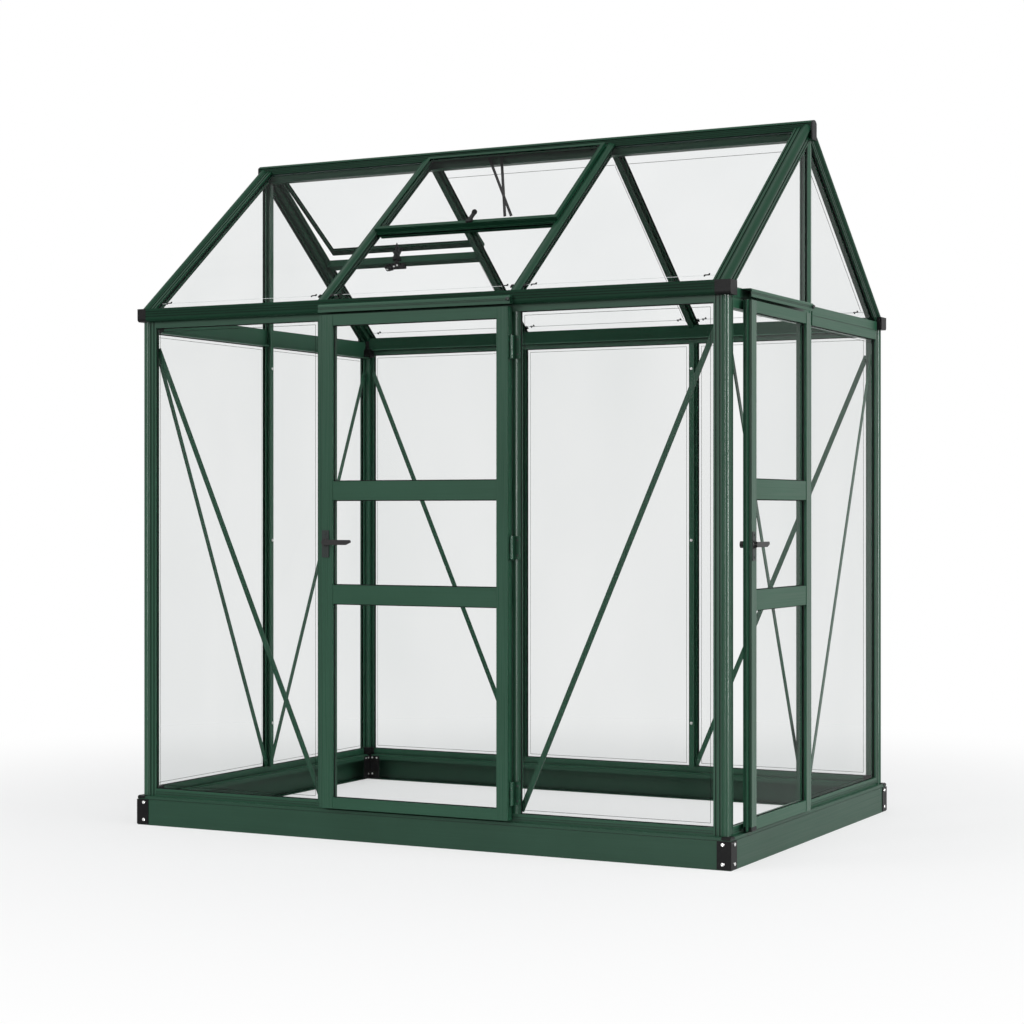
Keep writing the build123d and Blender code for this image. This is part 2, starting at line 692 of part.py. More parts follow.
def below_verge(y):
    """Height of a gable pane's sloping edge at a distance from the middle of the gable."""
    return APEX - y * SLOPE_TAN - CORNER_PANE_END / SLOPE_COS


with BuildPart() as gable_point_glazing:
    for wall in GABLES:
        for mirrored in (-1, 1):
            with BuildSketch(wall.facing(0, 0, PANE_DEPTH + PANE)):
                Polygon(
                    (mirrored * PANE_END, point_low),
                    (mirrored * point_end, point_low),
                    (mirrored * point_end, below_verge(point_end)),
                    (mirrored * (APEX - point_high - CORNER_PANE_END / SLOPE_COS) / SLOPE_TAN, point_high),
                    (mirrored * PANE_END, point_high),
                    align=None,
                )
            extrude(amount=PANE)
save(gable_point_glazing.part, "gable_point_glazing")

# Vents: slope, ends of the bay, width of the cross bar, bottom rail of the sash, angle it stands open
vents = (
    (
        FRONT_SLOPE,
        CAP_WIDTH / 2 - MULLION_OFFSET,
        MULLION_OFFSET - CAP_WIDTH / 2,
        FRONT_VENT_BAR,
        FRONT_VENT_RAIL,
        0,
    ),
    (
        BACK_SLOPE,
        MULLION_OFFSET + CAP_WIDTH / 2,
        HALF_LENGTH - FLANGE,
        REAR_VENT_BAR,
        REAR_VENT_RAIL,
        REAR_VENT_ANGLE,
    ),
)

# Cross bars below the roof vents
with BuildPart() as vent_bars:
    for slope, left, right, bar_width, rail, angle in vents:
        vent_bar = rail_section(bar_width, False, True, (GROOVE_WIDTH, bar_width / 2))
        run(vent_bar, slope.along_u(right, VENT_BAR_PLACE), right - left)
save(vent_bars.part, "vent_bars")

# Panes of the roof, the vented bays only up to the cross bar
roof_high = SLOPE_LENGTH - VENT_TOP_GAP
vented_high = VENT_BAR_PLACE + SLOT_DEPTH - PANE_PLAY
with BuildPart() as roof_glazing:
    for slope, tops in (
        (FRONT_SLOPE, (roof_high, vented_high, roof_high)),
        (BACK_SLOPE, (roof_high, roof_high, vented_high)),
    ):
        sheet(slope, -outer_end, -bay_end, -EAVE_OVERHANG, tops[0], PANE_DEPTH, PANE)
        sheet(slope, -middle_end, middle_end, -EAVE_OVERHANG, tops[1], PANE_DEPTH, PANE)
        sheet(slope, bay_end, outer_end, -EAVE_OVERHANG, tops[2], PANE_DEPTH, PANE)
save(roof_glazing.part, "roof_glazing")


def vent_side(slope, angle):
    """Plane just above the slope's, turned up about the line where it meets the ridge."""
    top = slope.origin + slope.up * SLOPE_LENGTH + slope.out * VENT_REST
    turned = slope.up.rotate(Axis((0, 0, 0), slope.u), -angle)
    return Side(top - turned * SLOPE_LENGTH, slope.u, turned)


# Sashes of the vents: the front one shut, the one at the back propped open
with BuildPart() as vent_frames:
    for slope, left, right, bar_width, rail, angle in vents:
        sash = vent_side(slope, angle)
        low = VENT_BAR_PLACE + bar_width - VENT_SEAT
        inner_left = left - VENT_LAP + VENT_SIDE
        inner_right = right + VENT_LAP - VENT_SIDE
        with BuildSketch(sash.facing(0, 0)):
            box_section(left - VENT_LAP, right + VENT_LAP, low, VENT_TOP)
            box_cut(inner_left, inner_right, low + rail, VENT_TOP - VENT_SIDE)
        extrude(amount=VENT_DEPTH)
        sheet(sash, inner_left, inner_right, VENT_TOP, SLOPE_LENGTH + VENT_TONGUE, -VENT_TONGUE, VENT_TONGUE)
        with BuildSketch(sash.facing(0, 0, PANE_FIT - VENT_PANE_DEPTH)):
            box_section(
                inner_left - SLOT_DEPTH,
                inner_right + SLOT_DEPTH,
                low + rail - SLOT_DEPTH,
                VENT_TOP - VENT_SIDE + SLOT_DEPTH,
            )
        extrude(amount=SLOT, mode=Mode.SUBTRACT)
    cut_box((-BASE_LENGTH, -RIDGE_HALF, RIDGE_BOTTOM), (BASE_LENGTH, RIDGE_HALF, RIDGE_TOP + CUT))
save(vent_frames.part, "vent_frames")

with BuildPart() as vent_panes:
    reach = SLOT_DEPTH - PANE_PLAY
    for slope, left, right, bar_width, rail, angle in vents:
        sheet(
            vent_side(slope, angle),
            left - VENT_LAP + VENT_SIDE - reach,
            right + VENT_LAP - VENT_SIDE + reach,
            VENT_BAR_PLACE + bar_width - VENT_SEAT + rail - reach,
            VENT_TOP - VENT_SIDE + reach,
            -VENT_PANE_DEPTH - PANE,
            PANE,
        )
save(vent_panes.part, "vent_panes")

# Stays: the post under the rear sash is cut to its slope, the front arms end at the ridge's web
with BuildPart() as vent_stays:
    slope, left, right, bar_width, rail, angle = vents[1]
    stay = (left + right) / 2 + STAY_SET
    bar_top = VENT_BAR_PLACE + bar_width
    sheet(
        slope,
        stay - STAY_POST / 2,
        stay + STAY_POST / 2,
        bar_top + STAY_SEAT,
        bar_top + STAY_SEAT + STAY_POST_SHEET,
        -STAY_POST_REACH,
        STAY_POST_REACH + RAIL_DEPTH + STAY_PLATE_SHEET,
    )
    sash = vent_side(slope, angle)
    split(bisect_by=Plane(sash.point(0, 0), z_dir=sash.out), keep=Keep.BOTTOM)
    sheet(
        slope,
        stay - STAY_PLATE / 2,
        stay + STAY_PLATE / 2,
        VENT_BAR_PLACE - STAY_PLATE_LOW,
        VENT_BAR_PLACE + STAY_PLATE_HIGH,
        RAIL_DEPTH + STAY_SEAT,
        STAY_PLATE_SHEET,
    )
    arm_top = SLOPE_LENGTH + STAY_ARM_LAP
    arm_foot = VENT_BAR_PLACE + STAY_ARM_CLEARANCE
    for top, foot in zip(STAY_ARM_TOPS, STAY_ARM_FEET):
        strip(FRONT_SLOPE, (top, arm_top), (foot, arm_foot), STAY_ARM_WIDTH, STAY_ARM_SHEET)
    cut_box((-BASE_LENGTH, -RIDGE_WEB, RIDGE_BOTTOM), (BASE_LENGTH, RIDGE_WEB, RIDGE_TOP))
save(vent_stays.part, "vent_stays")

# Diagonal braces on the inner faces of the walls
with BuildPart() as braces:
    for mirrored in (-1, 1):
        for wall in LONG_WALLS:
            top = (mirrored * (HALF_LENGTH - BRACE_POST_INSET), BRACE_TOP)
            strip(wall, top, (mirrored * BRACE_END, BRACE_BOTTOM), BRACE_WIDTH, BRACE_SHEET)
        for wall in GABLES:
            top = (mirrored * (HALF_WIDTH - BRACE_POST_INSET), BRACE_TOP)
            strip(wall, top, (mirrored * BRACE_MULLION_REACH, BRACE_BOTTOM), BRACE_WIDTH, BRACE_SHEET)
save(braces.part, "braces")


# Jamb that carries the side door's hinges, beside the middle mullion
jamb_left = SIDE_LEAF_HINGED + JAMB_SHOW
jamb_right = -CAP_WIDTH / 2
with BuildPart() as side_door_jamb:
    with BuildSketch(RIGHT.level((jamb_left + jamb_right) / 2, SILL_TOP, RAIL_DEPTH / 2)):
        width = jamb_right - jamb_left
        Rectangle(width, RAIL_DEPTH)
        cell = (width - 3 * JAMB_SHEET) / 2
        for mirrored in (-1, 1):
            with Locations((mirrored * (cell + JAMB_SHEET) / 2, 0)):
                Rectangle(cell, RAIL_DEPTH - 2 * JAMB_SHEET, mode=Mode.SUBTRACT)
    extrude(amount=GABLE_RAIL_BOTTOM - SILL_TOP)
save(side_door_jamb.part, "side_door_jamb")


# Headers that shed water over the doors
def header_section(inner):
    """Hood open below, from the face it hangs on out past the leaf."""
    with BuildSketch() as section:
        box_section(inner, HEADER_OUT, 0, HEADER_HEIGHT)
        outer_corners = section.vertices().filter_by_position(Axis.X, HEADER_OUT - 1, HEADER_OUT + 1)
        fillet(outer_corners.sort_by(Axis.Y)[-1], HEADER_NOSE)
        box_cut(inner + HEADER_SHEET, HEADER_OUT - HEADER_SHEET, 0, HEADER_HEIGHT - HEADER_SHEET)
        for place in (HEADER_HEIGHT / 3, HEADER_HEIGHT / 2):
            box_cut(HEADER_OUT - GROOVE, HEADER_OUT, place, place + GROOVE_WIDTH)
    return section.sketch


with BuildPart() as door_headers:
    for wall, ends, inner in ((FRONT, FRONT_HEADER, GUTTER_REACH), (RIGHT, SIDE_HEADER, 0)):
        run(header_section(inner), wall.along_u(ends[1], EAVE_UNDERSIDE + HEADER_RISE), ends[1] - ends[0])
save(door_headers.part, "door_headers")


# Doors
def leaf_stile(direction, lip):
    """Stile whose outer edge is at local x 0 and whose glass side is at direction times its width."""

    def cells(near, far, low, high):
        return (*sorted((direction * near, direction * far)), low, high)

    slot_end = STILE - SLOT_DEPTH
    with BuildSketch() as section:
        box_section(*cells(0, STILE, -LEAF_DEPTH, 0))
        box_cut(*cells(LEAF_SHEET, slot_end - LEAF_SHEET, LEAF_SHEET - LEAF_DEPTH, -LEAF_SHEET))
        box_cut(*cells(slot_end, STILE, PANE_FIT - LEAF_PANE_DEPTH - SLOT, PANE_FIT - LEAF_PANE_DEPTH))
        if lip:
            box_section(*cells(-LEAF_LIP, 0, -LEAF_LIP_DEPTH - LEAF_LIP_SHEET, -LEAF_LIP_DEPTH))
    return section.sketch


def leaf_rail(height, slot_at_top, slot_at_bottom):
    """Rail between the stiles, set back a little from both faces of the leaf."""
    outer = -LEAF_RAIL_SET
    inner = LEAF_RAIL_SET - LEAF_DEPTH
    low = SLOT_DEPTH + LEAF_SHEET if slot_at_bottom else LEAF_SHEET
    high = height - SLOT_DEPTH - LEAF_SHEET if slot_at_top else height - LEAF_SHEET
    slot_outer = PANE_FIT - LEAF_PANE_DEPTH
    with BuildSketch() as section:
        box_section(inner, outer, 0, height)
        box_cut(inner + LEAF_SHEET, outer - LEAF_SHEET, low, high)
        if slot_at_top:
            box_cut(slot_outer - SLOT, slot_outer, height - SLOT_DEPTH, height)
        if slot_at_bottom:
            box_cut(slot_outer - SLOT, slot_outer, 0, SLOT_DEPTH)
    return section.sketch


def hinge_knuckle(side, place, low, height, arm_from, arm_to, arm_side):
    """Barrel of a hinge with the short arm that holds it."""
    pin = (HINGE_PIN_GAP, -HINGE_PIN_OUT)
    with BuildSketch(side.level(place, low)) as barrel:
        with Locations(pin):
            Circle(HINGE_BARREL)
        if arm_side:
            box_section(arm_from, arm_to, -HINGE_PIN_OUT - HINGE_SHEET, HINGE_SHEET - HINGE_PIN_OUT)
        else:
            box_section(HINGE_PIN_GAP - HINGE_SHEET / 2, HINGE_PIN_GAP + HINGE_SHEET / 2, arm_from, arm_to)
    extrude(barrel.sketch, amount=height)


def fixed_hinges(side, place, lug):
    """Halves of the hinges that stay on the wall, with their pins."""
    knuckle = HINGE_HEIGHT / 3
    for middle in HINGE_PLACES:
        low = middle - HINGE_HEIGHT / 2
        with BuildSketch(side.level(place, low)) as plate:
            plate_end = HINGE_PLATE_GAP + HINGE_PLATE
            box_section(HINGE_PLATE_GAP, plate_end, -HINGE_PLATE_SHEET, 0)
            if lug:
                box_section(plate_end - HINGE_LUG, plate_end, -HINGE_PLATE_SHEET, CAP_SHOULDER)
            half_arm = HINGE_SHEET / 2
            box_section(HINGE_PIN_GAP - half_arm, HINGE_PIN_GAP + half_arm, -HINGE_ARM_OUT, 0)
        extrude(plate.sketch, amount=HINGE_HEIGHT)
        for start in (low, low + 2 * knuckle):
            hinge_knuckle(side, place, start, knuckle, -HINGE_PIN_OUT, 1 - HINGE_ARM_OUT, False)
        with BuildSketch(side.level(place, low)) as pin:
            with Locations((HINGE_PIN_GAP, -HINGE_PIN_OUT)):
                Circle(HINGE_PIN)
        extrude(pin.sketch, amount=HINGE_HEIGHT)


def moving_hinges(side, place):
    """Halves of the hinges that sit on the leaf's edge."""
    knuckle = HINGE_HEIGHT / 3
    for middle in HINGE_PLACES:
        low = middle - HINGE_HEIGHT / 2
        flap_outer = -HINGE_PIN_OUT - HINGE_FLAP / 2
        with BuildSketch(side.level(place, low)) as flap:
            box_section(0, HINGE_SHEET, flap_outer, flap_outer + HINGE_FLAP)
        extrude(flap.sketch, amount=HINGE_HEIGHT)
        start = low + knuckle + HINGE_PLAY
        height = knuckle - 2 * HINGE_PLAY
        hinge_knuckle(side, place, start, height, HINGE_SHEET / 2, HINGE_PIN_GAP, True)
        with BuildSketch(side.level(place, start)) as bore:
            with Locations((HINGE_PIN_GAP, -HINGE_PIN_OUT)):
                Circle(HINGE_PIN + HINGE_BORE_PLAY)
        extrude(bore.sketch, amount=height, mode=Mode.SUBTRACT)


doors = (
    ("front_door", FRONT, FRONT_LEAF_FREE, FRONT_LEAF_HINGED, True),
    ("side_door", RIGHT, SIDE_LEAF_FREE, SIDE_LEAF_HINGED, False),
)
for name, wall, free, hinged, on_mullion in doors:
    leaf = Side(wall.origin + wall.out * LEAF_OUT, wall.u, wall.up)
    plate_left = free + PLATE_INSET
    spindle = plate_left + PLATE_WIDTH / 2
    spindle_height = HANDLE_HEIGHT + SPINDLE_RISE
    slot_reach = SLOT_DEPTH - PANE_PLAY

    with BuildPart() as stiles:
        run(leaf_stile(-1, True), leaf.along_up(free, LEAF_BOTTOM), LEAF_TOP - LEAF_BOTTOM)
        run(leaf_stile(1, False), leaf.along_up(hinged, LEAF_BOTTOM), LEAF_TOP - LEAF_BOTTOM)
        with BuildSketch(leaf.facing(spindle, spindle_height, LEAF_DEPTH)):
            Circle(SPINDLE_RADIUS + SPINDLE_PLAY)
        extrude(amount=LEAF_DEPTH, mode=Mode.SUBTRACT)
    save(stiles.part, f"{name}_stiles")

    rail_length = hinged - free - 2 * STILE
    rail_right = hinged - STILE
    with BuildPart() as rails:
        run(leaf_rail(END_RAIL, True, False), leaf.along_u(rail_right, LEAF_BOTTOM), rail_length)
        for low in MIDDLE_RAIL_PLACES:
            run(leaf_rail(MIDDLE_RAIL, True, True), leaf.along_u(rail_right, low), rail_length)
        run(leaf_rail(END_RAIL, False, True), leaf.along_u(rail_right, LEAF_TOP - END_RAIL), rail_length)
    save(rails.part, f"{name}_rails")

    rail_tops = [LEAF_BOTTOM + END_RAIL] + [low + MIDDLE_RAIL for low in MIDDLE_RAIL_PLACES]
    rail_bottoms = list(MIDDLE_RAIL_PLACES) + [LEAF_TOP - END_RAIL]
    with BuildPart() as glass:
        for low, high in zip(rail_tops, rail_bottoms):
            sheet(
                leaf,
                free + STILE - slot_reach,
                rail_right + slot_reach,
                low - slot_reach,
                high + slot_reach,
                LEAF_PANE_DEPTH,
                PANE,
            )
    save(glass.part, f"{name}_glass")

    with BuildPart() as leaf_hinges:
        moving_hinges(wall, hinged)
    save(leaf_hinges.part, f"{name}_hinges")

    with BuildPart() as plate:
        with BuildSketch(leaf.facing(spindle, HANDLE_HEIGHT)):
            RectangleRounded(PLATE_WIDTH, PLATE_HEIGHT, PLATE_CORNER)
            with Locations((0, SPINDLE_RISE)):
                Circle(SPINDLE_RADIUS + SPINDLE_PLAY, mode=Mode.SUBTRACT)
        extrude(amount=PLATE_SHEET)
    save(plate.part, f"{name}_handle_plate")

    with BuildPart() as lever:
        with BuildSketch(leaf.facing(spindle, spindle_height, LEAF_DEPTH + KNOB_LENGTH)):
            Circle(SPINDLE_RADIUS)
        extrude(amount=LEAF_DEPTH + KNOB_LENGTH + PLATE_SHEET + LEVER_GAP)
        with BuildSketch(leaf.facing(spindle, spindle_height, LEAF_DEPTH + KNOB_LENGTH)):
            Circle(KNOB_RADIUS)
        extrude(amount=KNOB_LENGTH - SPINDLE_PLAY)
        with BuildSketch(leaf.facing(spindle, spindle_height, -PLATE_SHEET - SPINDLE_PLAY)):
            Circle(BOSS_RADIUS)
        extrude(amount=LEVER_GAP - SPINDLE_PLAY)
        with BuildSketch(leaf.facing(spindle, spindle_height, -PLATE_SHEET - LEVER_GAP)):
            Circle(LEVER_HEIGHT / 2)
            Polygon(
                (0, -LEVER_HEIGHT / 2),
                (LEVER_LENGTH - LEVER_TIP_LENGTH, -LEVER_HEIGHT / 2),
                (LEVER_LENGTH, LEVER_HEIGHT / 2 - LEVER_TIP_HEIGHT),
                (LEVER_LENGTH, LEVER_HEIGHT / 2 - LEVER_CORNER),
                (LEVER_LENGTH - LEVER_CORNER, LEVER_HEIGHT / 2),
                (0, LEVER_HEIGHT / 2),
                align=None,
            )
        extrude(amount=LEVER_SHEET)
    save(lever.part, f"{name}_lever")

# Halves of the hinges that stay on the house
with BuildPart() as hinge_brackets:
    for name, wall, free, hinged, on_mullion in doors:
        fixed_hinges(wall, hinged, on_mullion)
save(hinge_brackets.part, "hinge_brackets")
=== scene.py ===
import json
import math

import bmesh
import bpy
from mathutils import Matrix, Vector


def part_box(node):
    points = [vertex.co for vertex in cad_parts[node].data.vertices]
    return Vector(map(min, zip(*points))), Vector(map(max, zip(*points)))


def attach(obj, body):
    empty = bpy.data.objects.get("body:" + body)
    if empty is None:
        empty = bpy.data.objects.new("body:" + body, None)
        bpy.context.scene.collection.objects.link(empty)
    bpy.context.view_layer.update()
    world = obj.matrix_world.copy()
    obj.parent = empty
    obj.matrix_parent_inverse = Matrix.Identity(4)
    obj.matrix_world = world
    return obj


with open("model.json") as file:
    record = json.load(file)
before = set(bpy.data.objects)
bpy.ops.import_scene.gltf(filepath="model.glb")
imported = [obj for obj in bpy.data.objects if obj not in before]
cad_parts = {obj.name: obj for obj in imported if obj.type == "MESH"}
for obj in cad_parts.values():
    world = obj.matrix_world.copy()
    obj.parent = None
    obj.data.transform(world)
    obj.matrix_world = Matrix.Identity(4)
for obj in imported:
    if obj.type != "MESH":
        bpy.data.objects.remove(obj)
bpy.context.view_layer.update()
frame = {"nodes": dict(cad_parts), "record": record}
nodes = frame["nodes"]
slot_of = {row["node"]: row["material_slot"] for row in frame["record"]["subparts"]}
scene = bpy.context.scene
scene.view_settings.view_transform = "Standard"

# Camera, solved from the photograph's corners and edges; sensor and lens in millimetres, yaw in degrees
CAMERA_PLACE = (2.9919, -5.87, 0.9101)
CAMERA_YAW = 27.221
SENSOR, LENS = 36.0, 77.69
cam_data = bpy.data.cameras.new("camera")
cam_data.sensor_fit = "HORIZONTAL"
cam_data.sensor_width = SENSOR
cam_data.lens = LENS
cam = bpy.data.objects.new("camera", cam_data)
scene.collection.objects.link(cam)
cam.location = CAMERA_PLACE
cam.rotation_euler = (math.radians(90), 0, math.radians(CAMERA_YAW))
scene.camera = cam

# Sizes of the CAD model in metres, read from its nodes' boxes
HALF_LENGTH, HALF_WIDTH, SILL_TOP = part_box("sill_rails")[1]
BASE_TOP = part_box("sill_rails")[0].z
BASE_X, BASE_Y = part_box("base_right")[1].x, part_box("base_back")[1].y
BASE_LEDGE = BASE_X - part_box("base_right")[0].x
PLATE_BOTTOM, EAVE = (corner.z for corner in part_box("wall_plates"))
GABLE_BAR_BOTTOM, GABLE_BAR_TOP = (corner.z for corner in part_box("gable_rails"))
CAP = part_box("gable_mullions")[1].y
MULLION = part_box("long_wall_mullions")[1].x - CAP
FLANGE = HALF_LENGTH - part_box("wall_plates")[1].x
RAIL_DEPTH = HALF_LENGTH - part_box("side_door_jamb")[0].x
PANE_OUT = HALF_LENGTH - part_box("gable_glazing")[1].x
HEADER_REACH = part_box("door_headers")[1].x - HALF_LENGTH
RIDGE_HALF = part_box("ridge_beam")[1].y

# Sizes of the CAD model that no box shows
PITCH = math.radians(38.3)
ROOF_RISE_AT_WALL = 0.042
BAR_DEPTH = 0.029
BRACE_SHEET, BRACE_RISE, BRACE_DROP = 0.003, 0.007, 0.078
BRACE_POST_GAP, BRACE_REACH = 0.008, 0.012
HINGE_SHEET, PLATE_SHEET, BRACKET_SHEET = 0.003, 0.0025, 0.0018
STILE, LEAF_LIP, END_RAIL, MIDDLE_RAIL = 0.034, 0.014, 0.030, 0.052
MIDDLE_RAIL_PLACES = (0.656, 0.943)
VENT_BAR_PLACE = 0.343

SLOPE_SIN, SLOPE_COS, SLOPE_TAN = math.sin(PITCH), math.cos(PITCH), math.tan(PITCH)
SLOPE_LENGTH = (HALF_WIDTH - RIDGE_HALF) / SLOPE_COS
ROOF_START = EAVE + ROOF_RISE_AT_WALL
APEX = ROOF_START + HALF_WIDTH * SLOPE_TAN

# A small part is sunk this far into what carries it
SINK = 0.0001


# Node helpers
def new_material(name):
    mat = bpy.data.materials.new(name)
    mat.use_nodes = True
    tree = mat.node_tree
    for old in list(tree.nodes):
        tree.nodes.remove(old)
    return mat, tree, tree.nodes.new("ShaderNodeOutputMaterial")


def principled(tree, out, colour, roughness, metallic=0.0, specular=0.5):
    shader = tree.nodes.new("ShaderNodeBsdfPrincipled")
    shader.inputs["Base Color"].default_value = (*colour, 1)
    shader.inputs["Roughness"].default_value = roughness
    shader.inputs["Metallic"].default_value = metallic
    shader.inputs["Specular IOR Level"].default_value = specular
    tree.links.new(shader.outputs[0], out.inputs["Surface"])
    return shader


def coords(tree, scale=(1, 1, 1)):
    mapping = tree.nodes.new("ShaderNodeMapping")
    mapping.inputs["Scale"].default_value = scale
    tree.links.new(tree.nodes.new("ShaderNodeTexCoord").outputs["Object"], mapping.inputs["Vector"])
    return mapping.outputs[0]


def noise(tree, place, scale, detail=4.0, rough=0.6):
    made = tree.nodes.new("ShaderNodeTexNoise")
    made.inputs["Scale"].default_value = scale
    made.inputs["Detail"].default_value = detail
    made.inputs["Roughness"].default_value = rough
    tree.links.new(place, made.inputs["Vector"])
    return made.outputs[0]


def ramp(tree, factor, stops):
    made = tree.nodes.new("ShaderNodeValToRGB")
    band = made.color_ramp
    for element, (place, colour) in zip(band.elements, stops):
        element.position = place
        element.color = (*colour, 1)
    tree.links.new(factor, made.inputs[0])
    return made.outputs[0]


def bump(tree, height, strength, distance, normal=None):
    made = tree.nodes.new("ShaderNodeBump")
    made.inputs["Strength"].default_value = strength
    made.inputs["Distance"].default_value = distance
    tree.links.new(height, made.inputs["Height"])
    if normal is not None:
        tree.links.new(normal, made.inputs["Normal"])
    return made.outputs[0]


def maths(tree, operation, first, second):
    made = tree.nodes.new("ShaderNodeMath")
    made.operation = operation
    for socket, value in zip(made.inputs, (first, second)):
        if isinstance(value, (int, float)):
            socket.default_value = value
        else:
            tree.links.new(value, socket)
    return made.outputs[0]


def mixed(tree, share, first, second):
    made = tree.nodes.new("ShaderNodeMixShader")
    for value, socket in zip((share, first, second), made.inputs):
        tree.links.new(value, socket)
    return made.outputs[0]


def grey(value):
    return (value, value, value)


# Materials
def powder_coat(name, colours, roughness, lines, specular=0.24):
    """Satin powder coat over extruded metal: slow colour clouds, faint die lines, a fine orange peel, and
    painted shade that darkens the colour in the bar's own grooves and creases.
    """
    mat, tree, out = new_material(name)
    dark, light = colours
    shader = principled(tree, out, dark, roughness, specular=specular)
    cloud = noise(tree, coords(tree), scale=3.4, detail=5.0, rough=0.55)
    streak = noise(tree, coords(tree, lines), scale=1.0, detail=3.0)
    cloud_share, streak_share = 0.55, 0.45
    cloud_part = maths(tree, "MULTIPLY", cloud, cloud_share)
    streak_part = maths(tree, "MULTIPLY", streak, streak_share)
    both = maths(tree, "ADD", cloud_part, streak_part)
    # Painted shade: ambient occlusion darkens the colour where the bar's own faces are close, in its
    # grooves and creases
    shade = tree.nodes.new("ShaderNodeAmbientOcclusion")
    shade.samples = 4
    shade.only_local = True
    shade.inputs["Distance"].default_value = 0.010
    tree.links.new(ramp(tree, both, [(0.34, dark), (0.66, light)]), shade.inputs["Color"])
    tree.links.new(shade.outputs["Color"], shader.inputs["Base Color"])
    smoothest, roughest = roughness - 0.05, roughness + 0.08
    gloss = ramp(tree, streak, [(0.30, grey(smoothest)), (0.70, grey(roughest))])
    tree.links.new(gloss, shader.inputs["Roughness"])
    fine = noise(tree, coords(tree), scale=850.0, detail=2.0, rough=0.5)
    peel = bump(tree, fine, strength=0.12, distance=0.0004)
    die_lines = bump(tree, streak, strength=0.10, distance=0.0006, normal=peel)
    tree.links.new(die_lines, shader.inputs["Normal"])
    return mat


WALL_PANE_TINTS = ((0.930, 0.936, 0.935), (0.952, 0.955, 0.954))
ROOF_PANE_TINTS = ((0.948, 0.953, 0.953), (0.966, 0.969, 0.969))
CUT_EDGE_COLOUR = (0.03, 0.055, 0.048)


def clear_glass(name, normal, bend=1.08, tints=WALL_PANE_TINTS):
    """Thin clear pane: what is behind it shows a little darker, its cut edges are a deep grey green."""
    mat, tree, out = new_material(name)
    clear = tree.nodes.new("ShaderNodeBsdfTransparent")
    smear = noise(tree, coords(tree, (1.0, 1.0, 0.5)), scale=2.2, detail=3.0, rough=0.5)
    tint = ramp(tree, smear, list(zip((0.3, 0.7), tints)))
    tree.links.new(tint, clear.inputs["Color"])
    shine = tree.nodes.new("ShaderNodeBsdfGlossy")
    shine.inputs["Roughness"].default_value = 0.03
    shine.inputs["Color"].default_value = (1, 1, 1, 1)
    fresnel = tree.nodes.new("ShaderNodeFresnel")
    fresnel.inputs["IOR"].default_value = bend
    geometry = tree.nodes.new("ShaderNodeNewGeometry")
    # Only the side that faces the ray mirrors, so that each pane has one reflection
    facing = maths(tree, "SUBTRACT", 1.0, geometry.outputs["Backfacing"])
    share = maths(tree, "MULTIPLY", fresnel.outputs[0], facing)
    face = mixed(tree, share, clear.outputs[0], shine.outputs[0])
    edge = tree.nodes.new("ShaderNodeBsdfPrincipled")
    edge.inputs["Base Color"].default_value = (*CUT_EDGE_COLOUR, 1)
    edge.inputs["Roughness"].default_value = 0.25
    own = tree.nodes.new("ShaderNodeVectorTransform")
    own.vector_type = "NORMAL"
    own.convert_from = "WORLD"
    own.convert_to = "OBJECT"
    tree.links.new(geometry.outputs["True Normal"], own.inputs[0])
    dot = tree.nodes.new("ShaderNodeVectorMath")
    dot.operation = "DOT_PRODUCT"
    dot.inputs[1].default_value = normal
    tree.links.new(own.outputs[0], dot.inputs[0])
    size = maths(tree, "ABSOLUTE", dot.outputs["Value"], 0.0)
    along_normal = maths(tree, "GREATER_THAN", size, 0.7)
    tree.links.new(mixed(tree, along_normal, edge.outputs[0], face), out.inputs["Surface"])
    return mat


def moulded(name, colours, roughness, grain, specular=0.12):
    """Moulded plastic or rubber, or a painted highlight along a pane's edge, with a fine leathery grain."""
    mat, tree, out = new_material(name)
    dark, light = colours
    shader = principled(tree, out, dark, roughness, specular=specular)
    cloud = noise(tree, coords(tree), scale=55.0)
    tree.links.new(ramp(tree, cloud, [(0.3, dark), (0.75, light)]), shader.inputs["Base Color"])
    leather = noise(tree, coords(tree), scale=grain, detail=2.0)
    tree.links.new(bump(tree, leather, strength=0.2, distance=0.0003), shader.inputs["Normal"])
    return mat


def bare_steel(name):
    """Bright zinc-plated steel, a little patchy."""
    mat, tree, out = new_material(name)
    shader = principled(tree, out, (0.72, 0.72, 0.71), roughness=0.3, metallic=1.0)
    patch = noise(tree, coords(tree), scale=260.0)
    colour = ramp(tree, patch, [(0.3, (0.60, 0.60, 0.59)), (0.7, (0.80, 0.80, 0.79))])
    tree.links.new(colour, shader.inputs["Base Color"])
    gloss = ramp(tree, patch, [(0.3, grey(0.24)), (0.7, grey(0.38))])
    tree.links.new(gloss, shader.inputs["Roughness"])
    return mat


# Die lines are fine across a bar and long along it, so each direction of bar has its own coat
LINES_UP = (420.0, 420.0, 2.5)
LINES_ALONG = (2.5, 420.0, 420.0)
LINES_ACROSS = (420.0, 2.5, 420.0)

# Colours, each from dark to light: the greens are those of the walls, the base, and the roof and gutters
WALL_GREEN = ((0.0155, 0.0735, 0.0385), (0.0225, 0.0925, 0.0520))
BASE_GREEN = ((0.0108, 0.0530, 0.0278), (0.0160, 0.0675, 0.0378))
ROOF_GREEN = ((0.0065, 0.0370, 0.0185), (0.0110, 0.0520, 0.0280))
PLATE_GREY = ((0.022, 0.030, 0.027), (0.032, 0.042, 0.038))
LEVER_GREY = ((0.020, 0.019, 0.019), (0.030, 0.028, 0.028))
PLASTIC_BLACK = ((0.0035, 0.0035, 0.0038), (0.0085, 0.0085, 0.0088))
RUBBER_BLACK = ((0.004, 0.005, 0.005), (0.009, 0.010, 0.009))
# Light grey of the painted highlight along the roof panes' lower edges
PANE_EDGE_HIGHLIGHT_GREY = ((0.62, 0.66, 0.65), (0.78, 0.80, 0.79))

